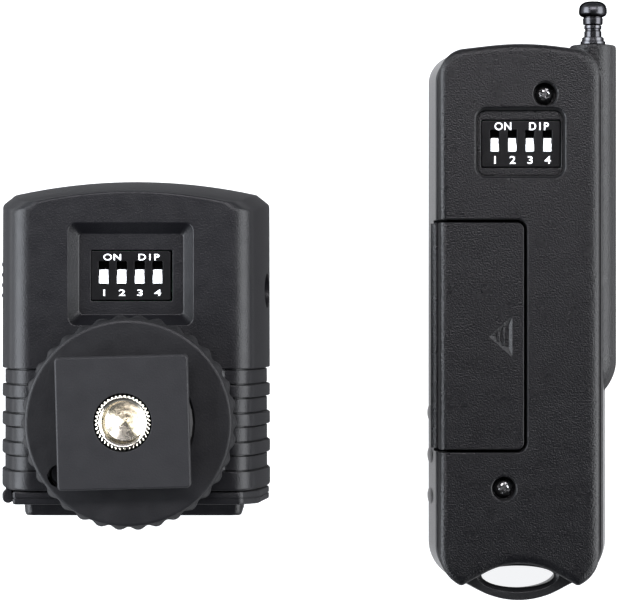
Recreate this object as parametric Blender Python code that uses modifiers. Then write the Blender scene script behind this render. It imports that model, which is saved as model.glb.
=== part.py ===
"""Wireless flash trigger: a shoe-mount receiver and its hand transmitter, both lying on their fronts.

Frame: +Z up out of the table and out of both backs, +Y towards the antenna tip, +X from the
receiver to the transmitter. The origin is on the table under the middle of the pair.
Lengths below are millimetres and angles are degrees; the helpers turn them into metres.
"""
import math

import bmesh
import bpy
from mathutils import Matrix, Vector

MM = 0.001

# Receiver body
RX = -25.4                  # x of the receiver's centre line
RX_HALF_WIDTH = 19.5        # at the parting line, the widest level
RX_TOP = 17.2               # crown of the arched top edge at the parting line
RX_BOTTOM = -26.8           # open end that the battery door closes
RX_PARTING = 9.0            # level where the front and back shells meet
RX_WALL = 1.5
RX_ARCH_RADIUS = 82.0
RX_ARCH_HALF = 17.3         # half length of the arched edge between its corner chamfers

# Grip ribs on the receiver's sides
RIB_FIRST_Y = -9.65
RIB_PITCH = 4.07
RIB_HEIGHT = 2.2
RIB_COUNT = 4
RIB_DEPTH = 0.4
RIB_INNER_X = 13.1

# Receiver switch window
RX_WINDOW_Y = 3.8
RX_WINDOW_OUTER = (17.6, 14.4)
RX_WINDOW_INNER = (14.9, 11.6)
RX_WINDOW_FLOOR = 22.3

# Switch blocks
DIP_PITCH = 2.54
DIP_LENGTH = 11.3
RX_DIP_WIDTH = 6.95
RX_DIP_CENTRE = (0.05, 3.6)
RX_DIP_TOP = 22.1
TX_DIP_WIDTH = 6.65
TX_DIP_CENTRE = (30.4, 22.7)
TX_DIP_TOP = 13.8
DIP_TRAVEL = 1.1
DIP_GAP = 0.1

# Shoe foot, lock ring and threaded insert
FOOT_Y = -17.0
FOOT_SIZE = 18.4
FOOT_BOTTOM = 32.5
FOOT_TOP = 34.5
FOOT_TURN = 1.5             # the foot sits a little off square
NECK_RADIUS = 6.0
INSERT_RADIUS = 3.8
INSERT_BORE = 2.8
INSERT_BOTTOM = 27.0
RING_RADIUS = 15.05
RING_FACE_RADIUS = 14.24
RING_BOTTOM = 25.0
RING_TOP = 30.0
SCALLOP_COUNT = 34
SCALLOP_DEPTH = 0.4
WASHER_RADIUS = 9.0

# Battery door
DOOR_INNER_Y = -26.95
DOOR_OUTER_Y = -28.8
DOOR_BLOCK_Y = -30.75
HINGE_X = -18.0             # from the receiver's centre line
HINGE_Y = -27.9
KNUCKLE_RADIUS = 0.95

# Receiver batteries and board
CR2_RADIUS = 7.8
CR2_LENGTH = 27.0
CR2_Y = -17.3
CR2_Z = 11.5
RX_BOARD_BOTTOM = 15.6
BOARD_THICKNESS = 1.2

# Sync socket and power switch, in the receiver's side walls
SOCKET_Y = 1.5
SOCKET_Z = 13.0
KNOB_Y = 3.05
KNOB_Z = 13.6
KNOB_LENGTH = 6.0
KNOB_HEIGHT = 4.0
KNOB_TRAVEL = 2.2

# Transmitter body
TX_DEPTH = 15.0
TX_PARTING = 10.0
TX_WALL = 1.2
TX_LEFT = 18.45             # back shell
TX_RIGHT = 41.7
TX_FRONT_LEFT = 17.5        # the front shell is wider, and leans in towards the back shell
TX_FRONT_LEAN = 0.8
TX_FRONT_RIGHT = 43.4
TX_MIDDLE = 30.2
TX_CROWN_RADIUS = 40.0       # the arched top edge

# Transmitter battery and its cover
COVER_RIGHT = 31.5
COVER_TOP = 11.67
COVER_BOTTOM = -22.2
COVER_GAP = 0.25
COVER_LOW = 7.85            # the cover wraps down the side to this level
A23_RADIUS = 5.15
A23_LENGTH = 28.5
A23_CENTRE = (25.2, -5.3, 7.4)

# Transmitter screws and front button
TX_SCREWS = ((33.83, 29.85), (27.9, -27.03))
TX_LED = (37.0, 26.0)
BUTTON_CENTRE = (29.4, 22.0)
BUTTON_RADIUS = 4.5

# Antenna
ANTENNA_X = 41.46
ANTENNA_Z = 6.5
SLEEVE_RADIUS = 3.4
SLEEVE_TOP = 37.5
SLEEVE_BOTTOM = -9.0
TIP_TOP = 44.0

BLACK_MATTE = (0.012, 0.012, 0.013)
BLACK_SATIN = (0.018, 0.018, 0.02)
CHARCOAL = (0.02, 0.02, 0.022)
WHITE = (0.85, 0.85, 0.83)


# ---------------------------------------------------------------- helpers

def clear_scene():
    for item in list(bpy.data.objects):
        bpy.data.objects.remove(item, do_unlink=True)


def make_collection(name):
    collection = bpy.data.collections.new(name)
    bpy.context.scene.collection.children.link(collection)
    return collection


def make_material(name, colour, roughness, metallic=0.0):
    material = bpy.data.materials.new(name)
    material.use_nodes = True
    shader = material.node_tree.nodes["Principled BSDF"]
    shader.inputs["Base Color"].default_value = (*colour, 1.0)
    shader.inputs["Roughness"].default_value = roughness
    shader.inputs["Metallic"].default_value = metallic
    material.diffuse_color = (*colour, 1.0)
    return material


def put(name, bm):
    """Turn a bmesh in millimetres into an object in the cutters collection."""
    bmesh.ops.recalc_face_normals(bm, faces=bm.faces)
    bmesh.ops.scale(bm, vec=(MM, MM, MM), verts=bm.verts)
    mesh = bpy.data.meshes.new(name)
    bm.to_mesh(mesh)
    bm.free()
    item = bpy.data.objects.new(name, mesh)
    CUTTERS.objects.link(item)
    item.hide_render = True
    item.display_type = "WIRE"
    return item


def finish(item, colour, roughness, metallic=0.0, origin=None, smooth=False):
    """Make a shape one of the model's parts, with its own material and its origin in place."""
    CUTTERS.objects.unlink(item)
    PARTS.objects.link(item)
    item.hide_render = False
    item.display_type = "TEXTURED"
    item.data.materials.append(make_material(item.name, colour, roughness, metallic))
    if origin is not None:
        point = Vector(origin) * MM
        item.data.transform(Matrix.Translation(-point))
        item.location = point
    if smooth:
        item.data.shade_smooth()
    return item


def boolean(item, other, operation):
    modifier = item.modifiers.new(other.name, "BOOLEAN")
    modifier.object = other
    modifier.operation = operation
    modifier.solver = "EXACT"
    return item


def cut(item, *cutters):
    for cutter in cutters:
        boolean(item, cutter, "DIFFERENCE")
    return item


def join(item, *others):
    for other in others:
        boolean(item, other, "UNION")
    return item


def bevel(item, width, segments=2):
    modifier = item.modifiers.new("Edges", "BEVEL")
    modifier.width = width * MM
    modifier.segments = segments
    modifier.limit_method = "ANGLE"
    return item


def rounded(corners, steps=5):
    """Outline points of a polygon whose corners, each (x, y, radius), are rounded by arcs."""
    points = []
    for index, (x, y, radius) in enumerate(corners):
        here = Vector((x, y))
        before = (Vector(corners[index - 1][:2]) - here).normalized()
        after = (Vector(corners[(index + 1) % len(corners)][:2]) - here).normalized()
        half = before.angle(after) / 2
        middle = here + (before + after).normalized() * radius / math.sin(half)
        start = here + before * radius / math.tan(half) - middle
        sweep = math.pi - 2 * half
        if before.cross(after) > 0:
            sweep = -sweep
        for step in range(steps + 1):
            turn = Matrix.Rotation(sweep * step / steps, 2)
            points.append(middle + turn @ start)
    return points


def loft(name, sections):
    """A closed solid through flat outlines, each (z, points) with equally many points."""
    bm = bmesh.new()
    rings = [[bm.verts.new((x, y, z)) for x, y in points] for z, points in sections]
    for lower, upper in zip(rings, rings[1:]):
        for index in range(len(lower)):
            near = index - 1
            bm.faces.new((lower[near], lower[index], upper[index], upper[near]))
    bm.faces.new(rings[0])
    bm.faces.new(rings[-1])
    return put(name, bm)


def prism(name, points, z0, z1):
    return loft(name, [(z0, points), (z1, points)])


def rectangle(centre, size, radius, steps=3):
    x, y = centre
    across, along = size[0] / 2, size[1] / 2
    corners = [(x - across, y - along, radius), (x + across, y - along, radius),
               (x + across, y + along, radius), (x - across, y + along, radius)]
    return rounded(corners, steps)


def box(name, low, high):
    bm = bmesh.new()
    middle = (Vector(low) + Vector(high)) / 2
    size = Vector(high) - Vector(low)
    matrix = Matrix.Translation(middle) @ Matrix.Diagonal((*size, 1.0))
    bmesh.ops.create_cube(bm, size=1.0, matrix=matrix)
    return put(name, bm)


def rod(name, radius, start, end, segments=20, end_radius=None):
    """A cylinder or cone between two points."""
    bm = bmesh.new()
    run = Vector(end) - Vector(start)
    turn = run.to_track_quat("Z", "Y").to_matrix().to_4x4()
    matrix = Matrix.Translation((Vector(start) + Vector(end)) / 2) @ turn
    top = radius if end_radius is None else end_radius
    bmesh.ops.create_cone(bm, cap_ends=True, segments=segments, radius1=radius, radius2=top,
                          depth=run.length, matrix=matrix)
    return put(name, bm)


def turned(name, profile, base, direction, steps=24, ring=False):
    """A lathe-turned piece: (radius, height) points spun about a line from base."""
    bm = bmesh.new()
    verts = [bm.verts.new((radius, 0.0, height)) for radius, height in profile]
    edges = [bm.edges.new(pair) for pair in zip(verts, verts[1:])]
    if ring:
        edges.append(bm.edges.new((verts[-1], verts[0])))
    bmesh.ops.spin(bm, geom=verts + edges, cent=(0, 0, 0), axis=(0, 0, 1),
                   angle=2 * math.pi, steps=steps, use_merge=True)
    bmesh.ops.remove_doubles(bm, verts=bm.verts, dist=0.0001)
    turn = Vector(direction).to_track_quat("Z", "Y").to_matrix().to_4x4()
    bmesh.ops.transform(bm, matrix=Matrix.Translation(base) @ turn, verts=bm.verts)
    return put(name, bm)


def wire(name, points, radius):
    """A round wire along points, as a mesh with welded caps."""
    curve = bpy.data.curves.new(name, "CURVE")
    curve.dimensions = "3D"
    curve.bevel_depth = radius * MM
    curve.bevel_resolution = 2
    curve.use_fill_caps = True
    spline = curve.splines.new("POLY")
    spline.points.add(len(points) - 1)
    for target, point in zip(spline.points, points):
        target.co = (*(Vector(point) * MM), 1.0)
    source = bpy.data.objects.new(name + "_path", curve)
    CUTTERS.objects.link(source)
    graph = bpy.context.evaluated_depsgraph_get()
    mesh = bpy.data.meshes.new_from_object(source.evaluated_get(graph))
    bm = bmesh.new()
    bm.from_mesh(mesh)
    bmesh.ops.remove_doubles(bm, verts=bm.verts, dist=0.000001)
    bmesh.ops.scale(bm, vec=(1 / MM, 1 / MM, 1 / MM), verts=bm.verts)
    bpy.data.objects.remove(source, do_unlink=True)
    bpy.data.meshes.remove(mesh)
    return put(name, bm)


def coil_points(base, direction, length, radii, turns, per_turn=12):
    """Points of a coil that starts at base and grows along direction from radii[0] to radii[1]."""
    turn = Vector(direction).to_track_quat("Z", "Y").to_matrix()
    points = []
    count = int(turns * per_turn)
    for step in range(count + 1):
        part = step / count
        angle = 2 * math.pi * turns * part
        radius = radii[0] + (radii[1] - radii[0]) * part
        local = Vector((radius * math.cos(angle), radius * math.sin(angle), length * part))
        points.append(Vector(base) + turn @ local)
    return points


def screw(name, head_radius, shank_radius, head_end, shank_end, head_height):
    """A pan-head screw along Z with a cross recess in its head."""
    x, y, z = head_end
    down = 1 if shank_end > z else -1
    seat = z + down * head_height
    item = rod(name, head_radius, head_end, (x, y, seat), 16)
    join(item, rod(name + "_shank", shank_radius, (x, y, seat - 0.1 * down), (x, y, shank_end), 12))
    reach = 0.6 * head_radius
    depth = z + 0.45 * head_height * down
    for label, along, across in (("a", reach, 0.12 * head_radius), ("b", 0.12 * head_radius, reach)):
        low = (x - along, y - across, min(z - down, depth))
        high = (x + along, y + across, max(z - down, depth))
        cut(item, box(name + "_slot_" + label, low, high))
    return item


# ---------------------------------------------------------------- receiver shells

def receiver_outline(half_width, crown, bottom):
    """Arched top edge with chamfered corners, straight sides and a flat bottom."""
    slope = math.asin(RX_ARCH_HALF / RX_ARCH_RADIUS)
    shoulder = RX_ARCH_HALF * half_width / RX_HALF_WIDTH
    radius = shoulder / math.sin(slope)
    drop = radius * (1 - math.cos(slope))
    peak = crown - drop + shoulder * math.tan(slope)
    chamfer = half_width - shoulder
    corners = [
        (RX - half_width, bottom, 0.5), (RX + half_width, bottom, 0.5),
        (RX + half_width - 0.1, crown - drop - 0.75 * chamfer, 0.5),
        (RX + shoulder, crown - drop, 0.5), (RX, peak, 0.97 * radius),
        (RX - shoulder, crown - drop, 0.5),
        (RX - half_width + 0.1, crown - drop - 0.75 * chamfer, 0.5),
    ]
    return rounded(corners)


def receiver_back_loft(name, inset):
    levels = ((RX_PARTING + 0.1, RX_HALF_WIDTH, RX_TOP), (20.0, 17.45, 16.6), (21.6, 17.05, 16.45),
              (22.9, 16.2, 16.1), (23.7, 15.3, 15.7), (24.0, 14.5, 15.3))
    sections = []
    for z, half_width, crown in levels:
        outline = receiver_outline(half_width - inset, crown - inset, RX_BOTTOM + inset)
        sections.append((z, outline))
    if inset > RIB_DEPTH:
        sections = [(z - inset, outline) for z, outline in sections]
    return loft(name, sections)


def rib_cutter():
    """The four bands that are sunk into both sides, bounded inside by a slightly smaller body."""
    bands = None
    for side in (-1, 1):
        for index in range(RIB_COUNT):
            top = RIB_FIRST_Y - index * RIB_PITCH
            inner, outer = sorted((side * RIB_INNER_X, side * 25.0))
            band = box("rib_band", (RX + inner, top - RIB_HEIGHT, 10.6), (RX + outer, top, 26.0))
            bands = band if bands is None else join(bands, band)
    core = receiver_back_loft("rib_core", RIB_DEPTH)
    return cut(bands, core)


def receiver_back_shell():
    shell = receiver_back_loft("receiver_back_shell", 0.0)
    cut(shell, receiver_back_loft("receiver_back_hollow", RX_WALL))
    frame = rectangle((RX, RX_WINDOW_Y), (18.0, 14.8), 1.0)
    join(shell, prism("window_frame", frame, 20.8, 23.2))
    for side in (-1, 1):
        join(shell, rod("receiver_boss", 1.8, (RX + side * 13.0, 12.0, 10.5),
                        (RX + side * 13.0, 12.0, 23.0), 16))
        cut(shell, rod("receiver_boss_hole", 0.85, (RX + side * 13.0, 12.0, 9.0),
                       (RX + side * 13.0, 12.0, 16.0), 12))
    outer = rectangle((RX, RX_WINDOW_Y), RX_WINDOW_OUTER, 1.3)
    inner = rectangle((RX, RX_WINDOW_Y), RX_WINDOW_INNER, 0.9)
    cut(shell, loft("window_recess", [(RX_WINDOW_FLOOR, inner), (24.05, outer)]))
    window = rectangle((RX + RX_DIP_CENTRE[0], RX_DIP_CENTRE[1]),
                       (DIP_LENGTH + 0.3, RX_DIP_WIDTH + 0.3), 0.2)
    cut(shell, prism("dip_window", window, 20.0, 24.0))
    cut(shell, rib_cutter())
    cut(shell, box("battery_mouth_back", (RX - 15.6, -28.0, 5.0), (RX + 15.6, -25.0, 20.3)))
    cut(shell, rod("socket_hole", 2.6, (RX + 14.0, SOCKET_Y, SOCKET_Z),
                   (RX + 21.0, SOCKET_Y, SOCKET_Z), 20))
    cut(shell, box("knob_slot", (RX - 21.0, KNOB_Y - KNOB_LENGTH / 2 - KNOB_TRAVEL - 0.1, KNOB_Z - 2.1),
                   (RX - 14.0, KNOB_Y + KNOB_LENGTH / 2 + 0.1, KNOB_Z + 2.1)))
    for x, y in foot_screw_places():
        cut(shell, rod("foot_screw_hole", 0.87, (x, y, 20.0), (x, y, 26.0), 12))
    join(shell, knuckle("back_knuckle", 16.0, 19.8))
    cut(shell, rod("back_pin_hole", 0.42, (RX + HINGE_X, HINGE_Y, 15.0),
                   (RX + HINGE_X, HINGE_Y, 19.2), 10))
    return finish(shell, BLACK_MATTE, 0.55)


def receiver_front_shell():
    levels = ((0.0, 17.6, 15.9), (0.35, 18.2, 16.4), (1.3, 18.9, 16.9),
              (RX_PARTING - 0.1, RX_HALF_WIDTH, RX_TOP))
    sections = [(z, receiver_outline(half, crown, RX_BOTTOM)) for z, half, crown in levels]
    shell = loft("receiver_front_shell", sections)
    hollow = [(1.8, receiver_outline(17.1, 15.3, RX_BOTTOM + RX_WALL)),
              (RX_PARTING + 0.2, receiver_outline(17.8, 15.7, RX_BOTTOM + RX_WALL))]
    cut(shell, loft("receiver_front_hollow", hollow))
    cut(shell, box("battery_mouth_front", (RX - 15.0, -28.0, 2.6), (RX + 15.0, -25.0, 12.0)))
    for side in (-1, 1):
        join(shell, box("battery_bay_wall", (RX + side * 15.6 - 0.4, -25.4, 1.6),
                        (RX + side * 15.6 + 0.4, -9.6, 8.4)))
        x = RX + side * 13.0
        join(shell, rod("receiver_post", 2.4, (x, 12.0, 1.6), (x, 12.0, 8.9), 16))
        cut(shell, rod("receiver_post_hole", 1.05, (x, 12.0, -1.0), (x, 12.0, 10.0), 12))
        cut(shell, rod("receiver_post_sink", 1.75, (x, 12.0, -1.0), (x, 12.0, 2.6), 16))
    cut(shell, rod("receiver_led_hole", 1.55, (RX, 8.0, -1.0), (RX, 8.0, 3.0), 16))
    join(shell, knuckle("front_knuckle", 1.2, 5.0))
    cut(shell, rod("front_pin_hole", 0.42, (RX + HINGE_X, HINGE_Y, 1.8),
                   (RX + HINGE_X, HINGE_Y, 6.0), 10))
    return finish(shell, BLACK_MATTE, 0.5)


def knuckle(name, z0, z1):
    """A round hinge knuckle on the body's bottom edge, with the web that carries it."""
    item = rod(name, KNUCKLE_RADIUS, (RX + HINGE_X, HINGE_Y, z0), (RX + HINGE_X, HINGE_Y, z1), 16)
    web = box(name + "_web", (RX + HINGE_X - 0.6, HINGE_Y, z0), (RX + HINGE_X + 0.95, -26.0, z1))
    return join(item, web)


# ---------------------------------------------------------------- receiver battery door

def receiver_battery_door():
    """End cap with a raised block, a barrel at its left end and a snap tongue at its right."""
    half = RX_HALF_WIDTH
    profile = rounded([(HINGE_X + 1.25, 0.4, 0.3), (18.3, 0.4, 0.8), (half, 9.0, 3.0),
                       (17.5, 20.0, 2.0), (15.4, 23.2, 0.6), (HINGE_X + 1.25, 23.2, 0.4)], 3)
    door = prism("receiver_battery_door", profile, 0.0, 1.0)
    thickness = DOOR_INNER_Y - DOOR_OUTER_Y
    stand = Matrix(((1, 0, 0, RX * MM), (0, 0, -thickness, DOOR_INNER_Y * MM),
                    (0, 1, 0, 0), (0, 0, 0, 1)))
    door.data.transform(stand)
    door.data.flip_normals()
    bevel(door, 0.3)
    block = box("door_block", (RX - 15.7, DOOR_BLOCK_Y, 4.0), (RX + 15.7, DOOR_OUTER_Y + 0.2, 17.6))
    bevel(block, 0.5)
    join(door, block)
    axis = (RX + HINGE_X, HINGE_Y)
    join(door, rod("door_barrel", KNUCKLE_RADIUS, (*axis, 5.2), (*axis, 15.8), 16))
    join(door, box("door_barrel_web", (axis[0], HINGE_Y - 0.6, 5.2), (axis[0] + 2.0, HINGE_Y + 0.6, 15.8)))
    join(door, box("door_tongue", (RX + 14.4, DOOR_INNER_Y - 0.5, 10.5), (RX + 15.3, -24.4, 14.5)))
    cut(door, rod("door_pin_hole", 0.45, (*axis, 4.0), (*axis, 17.0), 10))
    return finish(door, BLACK_MATTE, 0.5, origin=(*axis, 10.5))


def door_hinge_pin():
    axis = (RX + HINGE_X, HINGE_Y)
    pin = rod("door_hinge_pin", 0.35, (*axis, 2.2), (*axis, 18.8), 10)
    return finish(pin, (0.55, 0.55, 0.56), 0.35, 1.0, smooth=True)


# ---------------------------------------------------------------- shoe foot and lock ring

def foot_screw_places():
    places = []
    for index in range(4):
        angle = math.radians(45 + 90 * index + FOOT_TURN)
        places.append((RX + 4.85 * math.cos(angle), FOOT_Y + 4.85 * math.sin(angle)))
    return places


def shoe_foot():
    plate = prism("shoe_foot", rectangle((0, 0), (FOOT_SIZE, FOOT_SIZE), 0.4, 2), FOOT_BOTTOM, FOOT_TOP)
    turn = Matrix.Translation((RX * MM, FOOT_Y * MM, 0)) @ Matrix.Rotation(math.radians(FOOT_TURN), 4, "Z")
    plate.data.transform(turn)
    bevel(plate, 0.2, 1)
    join(plate, rod("foot_neck", NECK_RADIUS, (RX, FOOT_Y, 24.1), (RX, FOOT_Y, 33.0), 32))
    cut(plate, rod("insert_hole", INSERT_RADIUS + 0.06, (RX, FOOT_Y, INSERT_BOTTOM - 0.1),
                   (RX, FOOT_Y, 36.0), 32))
    for x, y in foot_screw_places():
        cut(plate, rod("foot_thread_hole", 0.87, (x, y, 23.0), (x, y, 30.1), 12))
    return finish(plate, BLACK_SATIN, 0.45)


def foot_screws():
    for index, (x, y) in enumerate(foot_screw_places()):
        item = screw(f"foot_screw_{index + 1}", 1.1, 0.8, (x, y, 21.2), 30.0, 1.1)
        finish(item, (0.5, 0.5, 0.52), 0.35, 1.0)


def tripod_insert():
    """Quarter-inch threaded insert, blind, with a countersunk mouth."""
    top = FOOT_TOP - 0.1
    profile = [(0.0, INSERT_BOTTOM), (INSERT_RADIUS, INSERT_BOTTOM), (INSERT_RADIUS, top),
               (INSERT_BORE + 0.35, top), (INSERT_BORE, top - 0.4), (INSERT_BORE, 29.6), (0.0, 28.2)]
    insert = turned("tripod_insert", profile, (RX, FOOT_Y, 0), (0, 0, 1), 32)
    return finish(insert, (0.78, 0.7, 0.52), 0.25, 1.0, smooth=True)


def ring_outline(radius, depth):
    """A circle with concave finger scallops of the given depth round it."""
    points = []
    per_scallop = 4
    for step in range(SCALLOP_COUNT * per_scallop):
        angle = 2 * math.pi * step / (SCALLOP_COUNT * per_scallop)
        dip = depth * math.sin(math.pi * (step % per_scallop) / per_scallop)
        reach = radius - dip
        points.append((RX + reach * math.cos(angle), FOOT_Y + reach * math.sin(angle)))
    return points


def lock_ring():
    """Scalloped thumb nut that screws up the foot's neck."""
    sections = [(RING_BOTTOM, ring_outline(RING_FACE_RADIUS, 0.0)),
                (RING_BOTTOM + 0.7, ring_outline(RING_RADIUS, SCALLOP_DEPTH)),
                (RING_TOP - 1.0, ring_outline(RING_RADIUS, SCALLOP_DEPTH)),
                (RING_TOP - 0.3, ring_outline(RING_FACE_RADIUS + 0.1, 0.0)),
                (RING_TOP, ring_outline(RING_FACE_RADIUS - 0.15, 0.0))]
    ring = loft("lock_ring", sections)
    cut(ring, rod("ring_bore", NECK_RADIUS + 0.15, (RX, FOOT_Y, 24.0), (RX, FOOT_Y, 31.0), 32))
    cut(ring, rod("washer_seat", WASHER_RADIUS + 0.2, (RX, FOOT_Y, RING_TOP - 0.7),
                  (RX, FOOT_Y, 31.0), 32))
    cut(ring, rod("ring_hole", 1.45, (RX - 9.6, FOOT_Y - 7.3, 24.0), (RX - 9.6, FOOT_Y - 7.3, 31.0), 16))
    return finish(ring, BLACK_SATIN, 0.45, origin=(RX, FOOT_Y, RING_BOTTOM))


def lock_washer():
    inner = NECK_RADIUS + 0.15
    profile = [(inner, 0.0), (WASHER_RADIUS, 0.0), (WASHER_RADIUS, 0.5), (inner, 0.5)]
    washer = turned("lock_washer", profile, (RX, FOOT_Y, RING_TOP - 0.5), (0, 0, 1), 32, ring=True)
    return finish(washer, (0.02, 0.02, 0.02), 0.8, origin=(RX, FOOT_Y, RING_TOP - 0.5), smooth=True)


# ---------------------------------------------------------------- switch blocks

def switch_block(owner, centre, width, top, bottom, slider_size, slider_rise):
    """Four-way slide switch block and its four sliders, resting at OFF, the end away from ON."""
    x, y = centre
    slot_low = y - 0.14 - slider_size[1] / 2 - DIP_GAP
    slot_high = slot_low + slider_size[1] + DIP_TRAVEL + 2 * DIP_GAP
    housing = box(owner + "_dip_housing", (x - DIP_LENGTH / 2, y - width / 2, bottom),
                  (x + DIP_LENGTH / 2, y + width / 2, top))
    for index in range(4):
        slider_x = x + (index - 1.5) * DIP_PITCH
        across = slider_size[0] / 2
        cut(housing, box(owner + "_dip_slot", (slider_x - across - DIP_GAP, slot_low, top - 2.4),
                         (slider_x + across + DIP_GAP, slot_high, top + 1.0)))
        low = (slider_x - across, slot_low + DIP_GAP, top - 2.3)
        high = (slider_x + across, slot_low + DIP_GAP + slider_size[1], top - 0.25)
        slider = box(f"{owner}_dip_slider_{index + 1}", low, high)
        step_low = (slider_x - across, slot_low + DIP_GAP, top - 0.5)
        step_high = (slider_x + across, slot_low + DIP_GAP + 0.55 * slider_size[1], top + slider_rise)
        join(slider, box(owner + "_dip_step", step_low, step_high))
        middle = (slider_x, (low[1] + high[1]) / 2, top)
        finish(slider, WHITE, 0.4, origin=middle)
    return finish(housing, BLACK_MATTE, 0.35)


# ---------------------------------------------------------------- receiver inside and sides

def receiver_board():
    """Board above the battery bay, with the radio chip, coil and status light on its underside."""
    corners = [(RX - 15.4, -8.8, 0.5), (RX + 15.4, -8.8, 0.5), (RX + 15.4, 6.8, 0.5),
               (RX + 8.8, 13.4, 0.5), (RX - 8.8, 13.4, 0.5), (RX - 15.4, 6.8, 0.5)]
    board = prism("receiver_circuit_board", rounded(corners, 2), RX_BOARD_BOTTOM,
                  RX_BOARD_BOTTOM + BOARD_THICKNESS)
    finish(board, (0.02, 0.12, 0.05), 0.5)
    chip = box("receiver_radio_chip", (RX - 3.0, -5.0, RX_BOARD_BOTTOM - 1.7),
               (RX + 3.0, 1.0, RX_BOARD_BOTTOM - 0.1))
    finish(bevel(chip, 0.15, 1), (0.02, 0.02, 0.02), 0.4)
    coil = turned("receiver_coil_antenna", [(1.6, 0.0), (2.2, 0.0), (2.2, 9.0), (1.6, 9.0)],
                  (RX - 10.0, 11.5, 13.0), (1, 0, 0), 16, ring=True)
    finish(coil, (0.7, 0.35, 0.16), 0.35, 1.0, smooth=True)
    led = turned("receiver_status_led", [(0.0, 0.5), (0.9, 0.65), (1.35, 1.2), (1.35, 3.4), (1.9, 3.4),
                                         (1.9, 4.6), (0.0, 4.6)], (RX, 8.0, 0.0), (0, 0, 1), 16)
    finish(led, (0.75, 0.08, 0.05), 0.2, smooth=True)


def receiver_battery():
    start = RX - CR2_LENGTH / 2 - 0.2
    end = start + CR2_LENGTH
    profile = [(0.0, 0.0), (CR2_RADIUS - 0.4, 0.0), (CR2_RADIUS, 0.4), (CR2_RADIUS, CR2_LENGTH - 1.6),
               (CR2_RADIUS - 0.5, CR2_LENGTH - 1.0), (3.1, CR2_LENGTH - 1.0), (3.0, CR2_LENGTH),
               (0.0, CR2_LENGTH)]
    cell = turned("receiver_battery", profile, (start, CR2_Y, CR2_Z), (1, 0, 0), 32)
    finish(cell, (0.35, 0.36, 0.4), 0.35, 0.6, smooth=True)
    spring = wire("receiver_battery_spring",
                  coil_points((start - 1.3, CR2_Y, CR2_Z), (1, 0, 0), 1.0, (4.2, 1.8), 2.5), 0.22)
    finish(spring, (0.7, 0.7, 0.7), 0.3, 1.0, smooth=True)
    plate = box("receiver_battery_contact", (end + 0.3, CR2_Y - 4.0, 4.0),
                (end + 0.7, CR2_Y + 4.0, 19.0))
    finish(plate, (0.75, 0.75, 0.74), 0.3, 1.0)


def sync_socket():
    """Flash sync jack: a barrel through the right wall with a blind bore for the plug."""
    barrel = rod("sync_socket", 2.4, (RX + 8.5, SOCKET_Y, SOCKET_Z), (RX + 18.35, SOCKET_Y, SOCKET_Z), 24)
    join(barrel, box("socket_body", (RX + 8.0, SOCKET_Y - 3.0, SOCKET_Z - 2.6),
                     (RX + 15.0, SOCKET_Y + 3.0, SOCKET_Z + 2.5)))
    cut(barrel, rod("socket_bore", 1.75, (RX + 9.5, SOCKET_Y, SOCKET_Z),
                    (RX + 20.0, SOCKET_Y, SOCKET_Z), 20))
    return finish(barrel, BLACK_MATTE, 0.4)


def power_switch():
    half = KNOB_LENGTH / 2
    rise = KNOB_HEIGHT / 2
    knob = box("power_switch_knob", (RX - 18.95, KNOB_Y - half, KNOB_Z - rise),
               (RX - 15.9, KNOB_Y + half, KNOB_Z + rise))
    join(knob, box("knob_flange", (RX - 16.15, KNOB_Y - half - 1.2, KNOB_Z - 2.4),
                   (RX - 15.75, KNOB_Y + half + 2.4, KNOB_Z + 1.85)))
    for index in range(4):
        y = KNOB_Y + (index - 1.5) * 1.5
        join(knob, box("knob_rib", (RX - 19.3, y - 0.35, KNOB_Z - rise),
                       (RX - 18.6, y + 0.35, KNOB_Z + rise)))
    finish(knob, BLACK_SATIN, 0.5, origin=(RX - 18.0, KNOB_Y, KNOB_Z))
    body = box("power_switch_body", (RX - 15.6, KNOB_Y - 5.5, KNOB_Z - 2.0),
               (RX - 12.0, KNOB_Y + 3.5, RX_BOARD_BOTTOM - 0.1))
    finish(body, (0.6, 0.6, 0.6), 0.35, 1.0)


def receiver_case_screws():
    for index, side in enumerate((-1, 1)):
        item = screw(f"receiver_case_screw_{index + 1}", 1.6, 0.8, (RX + side * 13.0, 12.0, 1.2), 15.6, 1.2)
        finish(item, (0.12, 0.12, 0.12), 0.35, 1.0)


# ---------------------------------------------------------------- transmitter shells

def back_outline(inset):
    """Arched top, straight sides and a bottom edge hollowed by a concave arc."""
    left, right = TX_LEFT + inset, TX_RIGHT - inset
    corners = [(left, -43.5 + 1.8 * inset, 3.2 - 1.0 * inset), (TX_MIDDLE, -35.8 + inset, 11.9),
               (right, -43.5 + 1.8 * inset, 3.6 - 1.2 * inset),
               (right, 36.0 - 0.8 * inset, 3.9 - 0.6 * inset),
               (TX_MIDDLE + 0.3, 38.1 - inset, TX_CROWN_RADIUS - 2.0 * inset),
               (left, 36.0 - 0.8 * inset, 3.9 - 0.6 * inset)]
    return rounded(corners, 6)


def front_outline(inset):
    """As the back shell but wider, and reaching further down round the key-ring loop."""
    left, right = TX_FRONT_LEFT + inset, TX_FRONT_RIGHT - inset
    low = -47.9 + 1.2 * inset
    corners = [(left, -37.3 + 0.5 * inset, 7.5 - inset), (TX_MIDDLE, low, 13.0 - inset),
               (right, -37.3 + 0.5 * inset, 7.5 - inset),
               (right, 36.0 - 0.8 * inset, 4.3 - 0.6 * inset),
               (TX_MIDDLE + 0.3, 38.1 - inset, TX_CROWN_RADIUS - 2.0 * inset),
               (left, 36.0 - 0.8 * inset, 4.3 - 0.6 * inset)]
    return rounded(corners, 6)


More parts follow.
